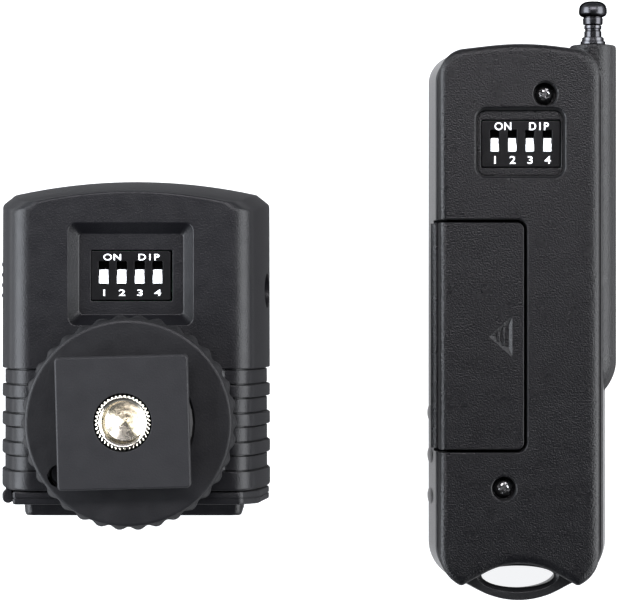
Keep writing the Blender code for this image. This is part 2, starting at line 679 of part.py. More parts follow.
def loop_outline(grow):
    """The lens-shaped hole behind the key-ring bar."""
    across, rise, fall = 5.25 + grow, 1.35 + grow, 2.1 + grow
    x, y = TX_MIDDLE, -40.0
    points = []
    for step in range(24):
        angle = 2 * math.pi * step / 24
        height = rise if math.sin(angle) > 0 else fall
        points.append((x + across * math.cos(angle), y + height * math.sin(angle)))
    return points


def antenna_sleeve(name, radius, bottom, top):
    return rod(name, radius, (ANTENNA_X, bottom, ANTENNA_Z), (ANTENNA_X, top, ANTENNA_Z), 24)


def transmitter_front_shell():
    sections = [(0.0, front_outline(1.2)), (0.35, front_outline(0.5)), (1.1, front_outline(0.1)),
                (2.0, front_outline(0.0)), (TX_PARTING - 0.1, front_outline(TX_FRONT_LEAN))]
    shell = loft("transmitter_front_shell", sections)
    hollow = back_outline(TX_WALL + 0.1)
    cut(shell, prism("transmitter_front_hollow", hollow, TX_WALL, TX_PARTING + 1.0))
    join(shell, antenna_sleeve("antenna_sleeve", SLEEVE_RADIUS, SLEEVE_BOTTOM, SLEEVE_TOP))
    join(shell, rod("sleeve_nose", 1.6, (ANTENNA_X - 1.2, SLEEVE_BOTTOM - 5.0, ANTENNA_Z - 1.6),
                    (ANTENNA_X, SLEEVE_BOTTOM + 0.5, ANTENNA_Z), 24, end_radius=SLEEVE_RADIUS))
    cut(shell, antenna_sleeve("antenna_bore", 1.75, SLEEVE_BOTTOM + 1.5, SLEEVE_TOP + 5.0))
    cut(shell, prism("loop_hole", loop_outline(0.0), -1.0, 12.0))
    button_hole = rod("button_hole", BUTTON_RADIUS + 0.2, (*BUTTON_CENTRE, -1.0), (*BUTTON_CENTRE, 2.0), 32)
    cut(shell, button_hole)
    cut(shell, rod("transmitter_led_hole", 1.1, (*TX_LED, -1.0), (*TX_LED, 2.0), 16))
    for x, y in TX_SCREWS:
        join(shell, rod("transmitter_post", 2.0, (x, y, 0.8), (x, y, 7.0), 16))
        cut(shell, rod("transmitter_post_hole", 0.75, (x, y, 1.6), (x, y, 8.0), 12))
    for index, y in enumerate((-16.5, -22.7, -28.7)):
        bump = box(f"grip_bump_{index}", (TX_FRONT_LEFT - 0.15, y - 1.05, 2.2),
                   (TX_FRONT_LEFT + 0.6, y + 1.05, 6.2))
        join(shell, bump)
    for y in (-21.6, 10.5):
        join(shell, box("battery_stop", (20.4, y - 0.4, 0.9), (30.4, y + 0.4, 5.0)))
    cut(shell, cover_opening())
    return finish(shell, CHARCOAL, 0.5)


def cover_opening():
    gap = COVER_GAP
    return box("cover_opening", (10.0, COVER_BOTTOM - gap, COVER_LOW - 0.3),
               (COVER_RIGHT + gap, COVER_TOP + gap, 16.0))


def transmitter_back_shell():
    sections = [(TX_PARTING + 0.1, back_outline(0.0)), (13.4, back_outline(0.1)),
                (14.3, back_outline(0.35)), (14.85, back_outline(0.9)), (TX_DEPTH, back_outline(1.3))]
    shell = loft("transmitter_back_shell", sections)
    hollow = back_outline(TX_WALL)
    cut(shell, prism("transmitter_back_hollow", hollow, TX_PARTING - 1.0, TX_DEPTH - TX_WALL))
    floor = rectangle((TX_DIP_CENTRE[0], TX_DIP_CENTRE[1]), (14.4, 11.4), 1.0)
    join(shell, prism("transmitter_window_frame", floor, 12.6, 14.4))
    recess = rectangle((TX_DIP_CENTRE[0] - 0.16, TX_DIP_CENTRE[1] + 0.1), (12.8, 9.9), 1.3)
    cut(shell, prism("transmitter_window_recess", recess, 13.9, 15.1))
    window = rectangle(TX_DIP_CENTRE, (DIP_LENGTH + 0.3, TX_DIP_WIDTH + 0.3), 0.2)
    cut(shell, prism("transmitter_dip_window", window, 12.0, 15.0))
    for x, y in TX_SCREWS:
        join(shell, rod("back_boss", 2.6, (x, y, 7.6), (x, y, 14.4), 20))
        cut(shell, rod("screw_way", 0.95, (x, y, 7.0), (x, y, 15.0), 12))
        cut(shell, rod("screw_counterbore", 1.73, (x, y, 12.2), (x, y, 15.1), 20))
    cut(shell, cover_opening())
    return finish(shell, CHARCOAL, 0.5)


def battery_cover():
    """Sliding cover over the battery, wrapped round the left side, with a raised pointer."""
    sections = [(COVER_LOW, back_outline(-0.85)), (9.2, back_outline(-0.8)), (9.8, back_outline(-0.4)),
                (9.9, back_outline(0.02)), (13.4, back_outline(0.1)),
                (14.3, back_outline(0.35)), (14.85, back_outline(0.9)), (TX_DEPTH, back_outline(1.3))]
    body = loft("battery_cover", sections)
    cut(body, prism("cover_hollow", back_outline(TX_WALL), COVER_LOW - 1.0, TX_DEPTH - TX_WALL))
    keep = rectangle(((10.0 + COVER_RIGHT) / 2, (COVER_TOP + COVER_BOTTOM) / 2),
                     (COVER_RIGHT - 10.0, COVER_TOP - COVER_BOTTOM), 0.9)
    boolean(body, prism("cover_extent", keep, 6.0, 16.0), "INTERSECT")
    pointer = rounded([(29.2, -8.1, 0.1), (29.2, -2.2, 0.1), (25.6, -5.15, 0.1)], 1)
    join(body, prism("cover_pointer", pointer, 14.5, 15.0 + 0.12))
    return finish(body, CHARCOAL, 0.5, origin=(25.0, -5.3, 14.0))


# ---------------------------------------------------------------- transmitter inside

def transmitter_board():
    corners = [(20.6, 12.9, 0.4), (31.9, 12.9, 0.4), (31.9, -31.0, 0.4), (37.6, -31.0, 0.4),
               (37.6, 33.5, 0.4), (20.6, 33.5, 0.4)]
    board = prism("transmitter_circuit_board", rounded(corners, 2), 8.4, 8.4 + BOARD_THICKNESS)
    for x, y in TX_SCREWS[:1]:
        cut(board, rod("board_hole", 2.9, (x, y, 8.0), (x, y, 10.5), 20))
    finish(board, (0.02, 0.12, 0.05), 0.5)
    chip = box("transmitter_radio_chip", (32.6, -6.0, 9.7), (36.8, 0.5, 11.3))
    finish(bevel(chip, 0.15, 1), (0.02, 0.02, 0.02), 0.4)
    can = [(0.0, 0.0), (2.3, 0.0), (2.3, 0.5), (2.0, 0.6), (2.0, 1.9), (0.0, 1.9)]
    resonator = turned("saw_resonator", can, (34.7, 6.0, 9.7), (0, 0, 1), 20)
    finish(resonator, (0.7, 0.7, 0.68), 0.25, 1.0, smooth=True)
    tact = box("trigger_tact_switch", (BUTTON_CENTRE[0] - 3.0, BUTTON_CENTRE[1] - 3.0, 4.9),
               (BUTTON_CENTRE[0] + 3.0, BUTTON_CENTRE[1] + 3.0, 8.3))
    finish(tact, (0.3, 0.3, 0.3), 0.4)
    led = turned("transmitter_led", [(0.0, 0.4), (0.7, 0.55), (0.95, 1.0), (0.95, 3.4), (0.0, 3.4)],
                 (*TX_LED, 0.0), (0, 0, 1), 14)
    finish(led, (0.75, 0.08, 0.05), 0.2, smooth=True)


def trigger_button():
    """Round test button in the front, with a flange behind the wall and a stem to the switch."""
    profile = [(0.0, 0.3), (BUTTON_RADIUS - 0.5, 0.35), (BUTTON_RADIUS, 0.8), (BUTTON_RADIUS, 1.5),
               (BUTTON_RADIUS + 0.8, 1.5), (BUTTON_RADIUS + 0.8, 2.1), (1.6, 2.1), (1.6, 4.3), (0.0, 4.3)]
    button = turned("trigger_button", profile, (*BUTTON_CENTRE, 0.0), (0, 0, 1), 28)
    return finish(button, (0.03, 0.03, 0.03), 0.4, origin=(*BUTTON_CENTRE, 0.3), smooth=True)


def transmitter_battery():
    x, y, z = A23_CENTRE
    start = y - A23_LENGTH / 2
    radius = A23_RADIUS
    profile = [(0.0, 0.0), (radius - 0.3, 0.0), (radius, 0.3), (radius, A23_LENGTH - 1.4),
               (radius - 0.4, A23_LENGTH - 0.9), (2.6, A23_LENGTH - 0.9), (2.5, A23_LENGTH),
               (0.0, A23_LENGTH)]
    cell = turned("transmitter_battery", profile, (x, start, z), (0, 1, 0), 28)
    finish(cell, (0.4, 0.4, 0.42), 0.35, 0.6, smooth=True)
    spring = wire("transmitter_battery_spring",
                  coil_points((x, start - 1.2, z), (0, 1, 0), 0.9, (3.2, 1.5), 2.5), 0.2)
    finish(spring, (0.7, 0.7, 0.7), 0.3, 1.0, smooth=True)
    plate = box("transmitter_battery_contact", (x - 3.0, start + A23_LENGTH + 0.15, 3.0),
                (x + 3.0, start + A23_LENGTH + 0.5, 11.5))
    finish(plate, (0.75, 0.75, 0.74), 0.3, 1.0)


def transmitter_case_screws():
    for index, (x, y) in enumerate(TX_SCREWS):
        item = screw(f"transmitter_case_screw_{index + 1}", 1.3, 0.65, (x, y, 13.9), 2.2, 1.4)
        finish(item, (0.05, 0.05, 0.05), 0.3, 1.0)


# ---------------------------------------------------------------- antenna

def antenna_tube(name, outer, inner, bottom, top, moving=True):
    profile = [(inner, 0.0), (outer, 0.0), (outer, top - bottom), (inner, top - bottom)]
    tube = turned(name, profile, (ANTENNA_X, bottom, ANTENNA_Z), (0, 1, 0), 16, ring=True)
    origin = (ANTENNA_X, top, ANTENNA_Z) if moving else None
    return finish(tube, (0.16, 0.155, 0.15), 0.22, 1.0, origin=origin, smooth=True)


def antenna():
    """Base tube and ferrule in the sleeve, two sliding sections and the rod with its knob."""
    base = [(1.33, 0.0), (1.65, 0.0), (1.65, 45.2), (1.33, 45.2)]
    tube = turned("antenna_base_tube", base, (ANTENNA_X, -6.9, ANTENNA_Z), (0, 1, 0), 16, ring=True)
    finish(tube, (0.16, 0.155, 0.15), 0.22, 1.0, smooth=True)
    antenna_tube("antenna_ferrule", 2.05, 1.7, SLEEVE_TOP + 0.1, 38.1, moving=False)
    antenna_tube("antenna_section_1", 1.22, 0.95, -5.6, 40.5)
    antenna_tube("antenna_section_2", 0.87, 0.62, -5.2, 40.4)
    profile = [(0.0, 0.0), (0.54, 0.0), (0.54, 45.5), (1.43, 45.5), (1.43, 46.35), (1.0, 46.6),
               (1.0, 46.8), (1.75, 47.2), (2.03, 47.9), (1.9, 48.5), (1.35, 48.85), (0.0, 48.95)]
    tip = turned("antenna_tip", profile, (ANTENNA_X, TIP_TOP - 48.95, ANTENNA_Z), (0, 1, 0), 18)
    finish(tip, (0.16, 0.155, 0.15), 0.22, 1.0, origin=(ANTENNA_X, TIP_TOP, ANTENNA_Z), smooth=True)


# ---------------------------------------------------------------- the whole pair

def build_receiver():
    receiver_front_shell()
    receiver_back_shell()
    receiver_battery_door()
    door_hinge_pin()
    shoe_foot()
    foot_screws()
    tripod_insert()
    lock_ring()
    lock_washer()
    switch_block("receiver", (RX + RX_DIP_CENTRE[0], RX_DIP_CENTRE[1]), RX_DIP_WIDTH, RX_DIP_TOP,
                 RX_BOARD_BOTTOM + BOARD_THICKNESS + 0.1, (1.55, 2.0), 0.15)
    receiver_board()
    receiver_battery()
    sync_socket()
    power_switch()
    receiver_case_screws()


def build_transmitter():
    transmitter_front_shell()
    transmitter_back_shell()
    battery_cover()
    transmitter_board()
    trigger_button()
    switch_block("transmitter", TX_DIP_CENTRE, TX_DIP_WIDTH, TX_DIP_TOP,
                 8.4 + BOARD_THICKNESS + 0.1, (1.25, 1.95), 0.1)
    transmitter_battery()
    transmitter_case_screws()
    antenna()


clear_scene()
PARTS = make_collection("wireless_flash_trigger")
CUTTERS = make_collection("cutters")
build_receiver()
build_transmitter()
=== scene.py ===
"""Looks for the wireless flash trigger pair. Shapes are drawn in millimetres and finished in metres."""
from math import asin, cos, pi, radians, sin, tan

import bmesh
import bpy
from mathutils import Matrix, Vector
from mathutils.geometry import tessellate_polygon


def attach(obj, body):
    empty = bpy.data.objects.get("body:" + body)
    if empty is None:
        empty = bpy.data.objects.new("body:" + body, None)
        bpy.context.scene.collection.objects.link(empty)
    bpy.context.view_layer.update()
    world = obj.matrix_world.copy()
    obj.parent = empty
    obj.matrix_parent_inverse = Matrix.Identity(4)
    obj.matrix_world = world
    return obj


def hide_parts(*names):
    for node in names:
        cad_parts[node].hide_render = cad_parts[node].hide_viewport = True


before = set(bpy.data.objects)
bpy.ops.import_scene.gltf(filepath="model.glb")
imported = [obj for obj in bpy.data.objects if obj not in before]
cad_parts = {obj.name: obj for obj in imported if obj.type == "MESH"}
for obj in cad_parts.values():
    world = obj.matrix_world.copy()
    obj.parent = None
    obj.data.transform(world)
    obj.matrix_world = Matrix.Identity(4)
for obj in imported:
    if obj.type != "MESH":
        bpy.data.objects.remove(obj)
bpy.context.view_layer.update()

MM = 0.001

# Receiver
RX = -25.4
RX_HALF_WIDTH = 19.5
RX_BOTTOM = -26.8
RX_BACK = 24.0
ARCH_RADIUS = 84.0
ARCH_HALF = 17.55
RIB_FIRST_Y = -9.65
RIB_PITCH = 4.07
RIB_HEIGHT = 2.2
RIB_COUNT = 4
RIB_DEPTH = 0.42
WALL_LOW = 9.22
FILLET_RADIUS = 3.5
FILLET_CENTRE = (14.15, 20.5)  # distance from the middle, z
RX_SCREWS = ((RX - 13.0, 12.0), (RX + 13.0, 12.0))
RX_LED = (RX, 8.0)
WINDOW_Y = 3.8
WINDOW_OUTER = (17.6, 14.4)
WINDOW_INNER = (14.9, 11.6)
WINDOW_FLOOR = 22.3
HINGE = (RX - 18.0, -27.9)
DOOR_INNER_Y = -26.95
DOOR_OUTER_Y = -28.8
DOOR_BLOCK_Y = -30.75
SOCKET = (1.5, 13.0)  # y, z
KNOB = (3.05, 13.6)  # y, z

# Foot, ring and insert
FOOT_Y = -17.0
PLATE = (RX - 0.5, FOOT_Y + 0.25)  # middle of the foot plate and of the insert
FOOT_HALF = 9.2
FOOT_BOTTOM = 32.5
FOOT_TOP = 34.5
FOOT_TURN = radians(1.5)
NECK_RADIUS = 6.0
THREAD_PITCH = 1.1
INSERT_RADIUS = 4.0
INSERT_TEETH = 40
RING_BOTTOM = 25.0
RING_TOP = 30.0
SCALLOPS = 34

# Switch blocks
RX_DIP = (RX - 0.1, 3.6)
RX_DIP_WIDTH = 6.95
TX_DIP = (30.4, 22.7)
TX_DIP_WIDTH = 6.65
DIP_CLEARANCE = 0.3
DIP_PITCH = 2.54
DIP_LENGTH = 11.3
DIP_TRAVEL = 1.1
DIP_GAP = 0.1

# Transmitter
TX_LEFT = 18.6
TX_RIGHT = 41.7
TX_FRONT_LEFT = 17.5
TX_FRONT_RIGHT = 43.7
TX_MIDDLE = 30.2
TX_BACK = 15.0
TX_SCREWS = ((33.83, 29.85), (27.9, -27.03))
TX_LED = (37.0, 26.0)
BUTTON = (29.4, 22.0)
BUTTON_RADIUS = 4.5
COVER_RIGHT = 30.75
COVER_TOP = 11.3
COVER_BOTTOM = -21.4
COVER_GAP = 0.48
COVER_LOW = 7.85
POINTER_Y = -5.1
ANTENNA = (41.46, 6.5)  # x, z
SLEEVE_RADIUS = 3.4
SLEEVE_TOP = 37.5
SLEEVE_BOTTOM = -9.0
SLEEVE_BORE = 1.75
TIP_LENGTH = 48.95  # thinnest antenna section with its knob


# ---- materials

MIX_SOCKETS = {"FLOAT": (2, 3, 0), "RGBA": (6, 7, 2)}  # both inputs and the result of a Mix node
CLOUD_SCALE = 180.0  # mottled colour, per metre
PATCH_SCALE = 420.0  # uneven gloss, per metre


def add_node(tree, kind, **settings):
    node = tree.nodes.new(kind)
    for key, value in settings.items():
        if key in node.inputs:
            node.inputs[key].default_value = value
        else:
            setattr(node, key, value)
    return node


def noise(tree, coordinates, scale, detail=3.0, roughness=0.55):
    node = add_node(tree, "ShaderNodeTexNoise", Scale=scale, Detail=detail, Roughness=roughness)
    tree.links.new(coordinates.outputs["Object"], node.inputs["Vector"])
    return node


def ranged(tree, source, low, high, start=0.3, end=0.7):
    node = add_node(tree, "ShaderNodeMapRange")
    for key, value in (("From Min", start), ("From Max", end), ("To Min", low), ("To Max", high)):
        node.inputs[key].default_value = value
    tree.links.new(source, node.inputs["Value"])
    return node.outputs["Result"]


def mixed(tree, kind, factor, first, second):
    """Result of a Mix node; first and second are each a value or another node's output."""
    node = add_node(tree, "ShaderNodeMix", data_type=kind)
    *inputs, result = MIX_SOCKETS[kind]
    tree.links.new(factor, node.inputs[0])
    for socket, value in zip(inputs, (first, second)):
        if isinstance(value, bpy.types.NodeSocket):
            tree.links.new(value, node.inputs[socket])
        else:
            node.inputs[socket].default_value = value
    return node.outputs[result]


def surface(name, colour, roughness, metallic=0.0, variation=0.06, spread=0.04, grain=None, edge_highlight=0.0,
            ior=1.5, walls=0.0, rim=1.0):
    """Principled material with mottled colour, uneven gloss, fine bump and a painted edge highlight: colour
    lightened on sharp edges.

    grain is (noise scale per metre, bump height in metres, strength). walls, unless it is zero, is the
    roughness of upright faces. rim is the specular tint, which darkens metal at a grazing angle.
    """
    look = bpy.data.materials.new(name)
    look.use_nodes = True
    tree = look.node_tree
    shader = tree.nodes["Principled BSDF"]
    shader.inputs["Metallic"].default_value = metallic
    shader.inputs["IOR"].default_value = ior
    shader.inputs["Specular Tint"].default_value = (rim, rim, rim, 1.0)
    coordinates = add_node(tree, "ShaderNodeTexCoord")
    cloud = noise(tree, coordinates, CLOUD_SCALE, 5.0)
    shades = [tuple(min(1.0, channel * share) for channel in colour) + (1.0,)
              for share in (1.0 - variation, 1.0 + variation)]
    paint = mixed(tree, "RGBA", ranged(tree, cloud.outputs["Fac"], 0.0, 1.0), *shades)
    # Painted highlight: sharp edges, found by pointiness, get a lightened copy of the colour.
    if edge_highlight:
        geometry = add_node(tree, "ShaderNodeNewGeometry")
        edge = ranged(tree, geometry.outputs["Pointiness"], 0.0, edge_highlight, 0.53, 0.6)
        edge_highlight_colour = tuple(min(1.0, channel * 3.0 + 0.02) for channel in colour) + (1.0,)
        paint = mixed(tree, "RGBA", edge, paint, edge_highlight_colour)
    tree.links.new(paint, shader.inputs["Base Color"])
    patch = noise(tree, coordinates, PATCH_SCALE, 4.0)
    gloss = ranged(tree, patch.outputs["Fac"], max(0.02, roughness - spread), min(1.0, roughness + spread))
    if walls:
        parts = add_node(tree, "ShaderNodeSeparateXYZ")
        tree.links.new(coordinates.outputs["Normal"], parts.inputs["Vector"])
        lean = add_node(tree, "ShaderNodeMath", operation="ABSOLUTE")
        tree.links.new(parts.outputs["Z"], lean.inputs[0])
        gloss = mixed(tree, "FLOAT", ranged(tree, lean.outputs[0], 1.0, 0.0, 0.25, 0.6), gloss, walls)
    tree.links.new(gloss, shader.inputs["Roughness"])
    if grain:
        scale, height, strength = grain
        texture = noise(tree, coordinates, scale, 2.0, 0.5)
        bump = add_node(tree, "ShaderNodeBump", Strength=strength, Distance=height)
        tree.links.new(texture.outputs["Fac"], bump.inputs["Height"])
        tree.links.new(bump.outputs["Normal"], shader.inputs["Normal"])
    return look


def dark_plastic(name, colour, roughness, grain, walls=1.0):
    return surface(name, colour, roughness, grain=grain, ior=1.25, walls=walls)


def lit_paper():
    look = surface("floor_paper", (0.22, 0.22, 0.22), 0.9, variation=0.01)
    shader = look.node_tree.nodes["Principled BSDF"]
    shader.inputs["Emission Color"].default_value = (0.97, 0.98, 1.0, 1.0)
    shader.inputs["Emission Strength"].default_value = 0.92
    return look


LOOKS = {
    "body": dark_plastic("receiver_plastic", (0.0022, 0.0022, 0.0028), 0.38, (4200.0, 0.00005, 0.7)),
    "satin": dark_plastic("satin_plastic", (0.0025, 0.0025, 0.003), 0.43, (3600.0, 0.00004, 0.5)),
    "foot": dark_plastic("foot_plastic", (0.0045, 0.0045, 0.0052), 0.5, (3800.0, 0.00004, 0.5)),
    "charcoal": dark_plastic("charcoal_plastic", (0.0012, 0.0012, 0.0015), 0.3, (4400.0, 0.00008, 1.0)),
    "charcoal_front": dark_plastic("charcoal_front_plastic", (0.0025, 0.0025, 0.0028), 0.4,
                                   (4400.0, 0.00005, 0.7), 0.35),
    "block": surface("switch_block_plastic", (0.001, 0.001, 0.0012), 0.38, grain=(5000.0, 0.00001, 0.2),
                     ior=1.2),
    "white": surface("white_plastic", (0.6, 0.61, 0.62), 0.4, variation=0.03, grain=(2500.0, 0.00001, 0.2)),
    "ink": surface("white_ink", (0.6, 0.61, 0.62), 0.6, grain=(6000.0, 0.00001, 0.2)),
    "brass": surface("pale_brass", (0.55, 0.52, 0.45), 0.16, 1.0, 0.05, 0.05, (2200.0, 0.00001, 0.2)),
    "steel": surface("bright_steel", (0.62, 0.62, 0.63), 0.28, 1.0, 0.06, 0.06, (2600.0, 0.00001, 0.25)),
    # Screw steel gets a painted highlight: its sharp edges are lightened.
    "black_steel": surface("black_steel", (0.3, 0.3, 0.3), 0.24, 1.0, 0.1, 0.08, (2600.0, 0.00001, 0.25),
                           0.5),
    # Antenna chrome gets a painted highlight: its sharp edges are lightened.
    "chrome": surface("black_chrome", (0.028, 0.028, 0.03), 0.26, 1.0, 0.08, 0.05, (2400.0, 0.00001, 0.15),
                      0.4, rim=0.1),
    "board": surface("circuit_board", (0.015, 0.11, 0.045), 0.4, variation=0.2, grain=(900.0, 0.00003, 0.3)),
    "chip": surface("moulded_chip", (0.018, 0.018, 0.018), 0.5, grain=(5200.0, 0.00001, 0.4)),
    "copper": surface("copper_wire", (0.72, 0.33, 0.15), 0.3, 1.0, 0.12, 0.05, (1800.0, 0.00002, 0.4)),
    "lens": surface("red_lens", (0.5, 0.02, 0.015), 0.12, variation=0.1),
    "wrap": surface("battery_wrap", (0.12, 0.13, 0.16), 0.3, 0.3, 0.15, 0.05, (700.0, 0.00002, 0.2)),
    "rubber": surface("black_rubber", (0.02, 0.02, 0.02), 0.8, grain=(4000.0, 0.00002, 0.6)),
    "paper": lit_paper(),
}


# ---- shapes

def rounded(corners):
    """Arc points for each corner (x, y, radius, steps) of a polygon, as one list for each corner."""
    parts = []
    for index, (x, y, radius, steps) in enumerate(corners):
        here = Vector((x, y))
        before = (Vector(corners[index - 1][:2]) - here).normalized()
        after = (Vector(corners[(index + 1) % len(corners)][:2]) - here).normalized()
        half = before.angle(after) / 2
        middle = here + (before + after).normalized() * radius / sin(half)
        start = here + before * radius / tan(half) - middle
        sweep = pi - 2 * half
        if before.cross(after) > 0:
            sweep = -sweep
        parts.append([middle + Matrix.Rotation(sweep * step / steps, 2) @ start
                      for step in range(steps + 1)])
    return parts


def outline(corners):
    return [point for part in rounded(corners) for point in part]


def rectangle(centre, size, radius, steps=5):
    (x, y), across, along = centre, size[0] / 2, size[1] / 2
    return outline([(x - across, y - along, radius, steps), (x + across, y - along, radius, steps),
                    (x + across, y + along, radius, steps), (x - across, y + along, radius, steps)])


def circle(centre, radius, steps=48):
    turn = 2 * pi / steps
    return [Vector((centre[0] + radius * cos(turn * step), centre[1] + radius * sin(turn * step)))
            for step in range(steps)]


def level(points, z):
    return [Vector((point[0], point[1], z)) for point in points]


def rounds(centre, rows, steps=64):
    """A level circle for each (z, radius) row."""
    return [level(circle(centre, radius, steps), z) for z, radius in rows]


def frames(centre, size, radius, rows, steps=3):
    """A level rounded rectangle for each (z, growth) row."""
    return [level(rectangle(centre, (size[0] + 2 * grow, size[1] + 2 * grow), radius, steps), z)
            for z, grow in rows]


def stack(draw, rows):
    """The outline that draw gives for each row's inset, at the row's height."""
    return [level(draw(inset), z) for z, inset in rows]


def half_circle(x, y, radius, start):
    """Points round half a circle, anticlockwise from start degrees."""
    return [Vector((x + radius * cos(angle), y + radius * sin(angle)))
            for angle in (radians(start + 180 * step / 16) for step in range(17))]


def add_object(name, data):
    item = bpy.data.objects.new(name, data)
    bpy.context.scene.collection.objects.link(item)
    return item


def evaluated(item):
    """A new mesh of an object as its modifiers or its text make it."""
    graph = bpy.context.evaluated_depsgraph_get()
    return bpy.data.meshes.new_from_object(item.evaluated_get(graph))


class Shape:
    """A mesh in the making, in millimetres."""

    def __init__(self):
        self.bm = bmesh.new()

    def bridge(self, first, second):
        for index in range(len(first)):
            self.bm.faces.new((first[index - 1], first[index], second[index], second[index - 1]))

    def skin(self, rings):
        made = [[self.bm.verts.new(point) for point in points] for points in rings]
        for first, second in zip(made, made[1:]):
            self.bridge(first, second)
        return made

    def cap(self, outer, *holes):
        loops = [outer, *holes]
        flat = [vert for loop in loops for vert in loop]
        for triangle in tessellate_polygon([[vert.co for vert in loop] for loop in loops]):
            self.bm.faces.new([flat[index] for index in triangle])

    def pit(self, rings):
        """A hollow with a floor; gives back the loop round its mouth."""
        made = self.skin(rings)
        self.cap(made[-1])
        return made[0]

    def solid(self, rings):
        made = self.skin(rings)
        self.cap(made[0])
        self.cap(made[-1])
        return self

    def tidy(self):
        bmesh.ops.remove_doubles(self.bm, verts=self.bm.verts, dist=0.0005)
        bmesh.ops.recalc_face_normals(self.bm, faces=self.bm.faces)
        if self.bm.calc_volume(signed=True) < 0:
            bmesh.ops.reverse_faces(self.bm, faces=self.bm.faces)

    def moved(self, matrix):
        bmesh.ops.transform(self.bm, matrix=matrix, verts=self.bm.verts)
        return self

    def mesh(self, name):
        self.tidy()
        mesh = bpy.data.meshes.new(name)
        self.bm.to_mesh(mesh)
        return mesh

    def combine(self, other, operation="DIFFERENCE"):
        """Boolean with another shape, applied."""
        made = [add_object("working", shape.mesh("working")) for shape in (self, other)]
        modifier = made[0].modifiers.new("cut", "BOOLEAN")
        modifier.object = made[1]
        modifier.operation = operation
        modifier.solver = "EXACT"
        result = evaluated(made[0])
        self.bm.free()
        self.bm = bmesh.new()
        self.bm.from_mesh(result)
        for item in made:
            bpy.data.objects.remove(item, do_unlink=True)
        bpy.data.meshes.remove(result)

    def finish(self, name, body, look, slot, replaces=(), angle=38.0):
        self.tidy()
        bmesh.ops.dissolve_limit(self.bm, angle_limit=0.0006, verts=self.bm.verts, edges=self.bm.edges)
        mesh = self.mesh(name)
        self.bm.free()
        mesh.transform(Matrix.Scale(MM, 4))
        mesh.shade_smooth()
        mesh.set_sharp_from_angle(angle=radians(angle))
        mesh.materials.append(LOOKS[look])
        item = add_object(name, mesh)
        weights = item.modifiers.new("Normals", "WEIGHTED_NORMAL")
        weights.keep_sharp = True
        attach(item, body)
        if replaces:
            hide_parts(*replaces)


def plan(low, high):
    """Centre and size, seen from above, of the box between two corners."""
    return ((low[0] + high[0]) / 2, (low[1] + high[1]) / 2), (high[0] - low[0], high[1] - low[1])


def block(low, high):
    centre, size = plan(low, high)
    points = rectangle(centre, size, min(size) * 0.01, 1)
    return Shape().solid([level(points, low[2]), level(points, high[2])])


def soft_block(low, high, radius=0.4, edge=0.1):
    """A box with rounded upright corners and softened top and bottom edges."""
    centre, size = plan(low, high)
    rings = []
    for z, inset in ((low[2], edge), (low[2] + 0.3 * edge, 0.3 * edge), (low[2] + edge, 0.0),
                     (high[2] - edge, 0.0), (high[2] - 0.3 * edge, 0.3 * edge), (high[2], edge)):
        points = rectangle(centre, (size[0] - 2 * inset, size[1] - 2 * inset), max(radius - inset, 0.02))
        rings.append(level(points, z))
    return Shape().solid(rings)


def turned(profile, steps=48):
    """A lathe-turned solid about Z from (radius, height) points that start and end on the axis."""
    shape = Shape()
    shape.skin([level(circle((0, 0), max(radius, 0.0001), steps), z) for radius, z in profile])
    return shape


def tube(profile):
    """A solid turned about Z with a hole down its axis, from a closed run of (radius, height) points."""
    shape = Shape()
    made = shape.skin([level(circle((0, 0), radius, 40), z) for radius, z in profile])
    shape.bridge(made[-1], made[0])
    return shape


def aimed(base, direction):
    """Matrix that stands a shape drawn up Z on base, pointing along direction."""
    return Matrix.Translation(base) @ Vector(direction).to_track_quat("Z", "Y").to_matrix().to_4x4()


def threaded_rings(radius, depth, pitch, z0, z1, steps=64, per_turn=8):
    """Rings down a screw thread, from z1 to z0, that fades out at both ends."""
    count = int(abs(z1 - z0) / pitch * per_turn)
    rings = []
    for index in range(count + 1):
        z = z1 + (z0 - z1) * index / count
        fade = min(1.0, index / per_turn, (count - index) / per_turn)
        points = []
        for step in range(steps):
            angle = 2 * pi * step / steps
            phase = (z / pitch - step / steps) % 1.0
            wave = abs(2 * phase - 1)
            reach = radius - depth * fade * min(1.0, 1.6 * wave)
            points.append(Vector((reach * cos(angle), reach * sin(angle), z)))
        rings.append(points)
    return rings


def shifted(rings, x, y):
    return [[point + Vector((x, y, 0.0)) for point in points] for points in rings]


# ---- receiver shells

def receiver_parts(half, crown, bottom, fine=22):
    """Corner arcs of the receiver's outline: arched top with chamfered corners, flat bottom."""
    slope = asin(ARCH_HALF / ARCH_RADIUS)
    shoulder = ARCH_HALF * half / RX_HALF_WIDTH
    radius = shoulder / sin(slope)
    drop = radius * (1 - cos(slope))
    chamfer = half - shoulder
    knee = crown - drop - 0.75 * chamfer
    return rounded([
        (RX - half, bottom, 0.5, 4), (RX + half, bottom, 0.5, 4),
        (RX + half - 0.1, knee, 0.8, 5), (RX + shoulder, crown - drop, 0.7, 5),
        (RX, crown - drop + shoulder * tan(slope), 0.96 * radius, fine),
        (RX - shoulder, crown - drop, 0.7, 5), (RX - half + 0.1, knee, 0.8, 5)])


def rib_stations():
    """(height, share of the full depth) up each side: sunk bands with a narrow groove along every lip."""
    stations = [(-25.3, 0.0)]
    for index in reversed(range(RIB_COUNT)):
        top = RIB_FIRST_Y - index * RIB_PITCH
        low = top - RIB_HEIGHT
        for lip, way in ((low, 1), (top, -1)):
            steps = [(-0.22, 0.0), (-0.1, 0.15), (-0.06, 2.2), (0.12, 2.2), (0.18, 1.0)]
            stations += [(lip + way * offset, share) for offset, share in steps[::way]]
    return stations + [(-6.0, 0.0), (0.0, 0.0), (6.0, 0.0)]


RIB_STATIONS = rib_stations()


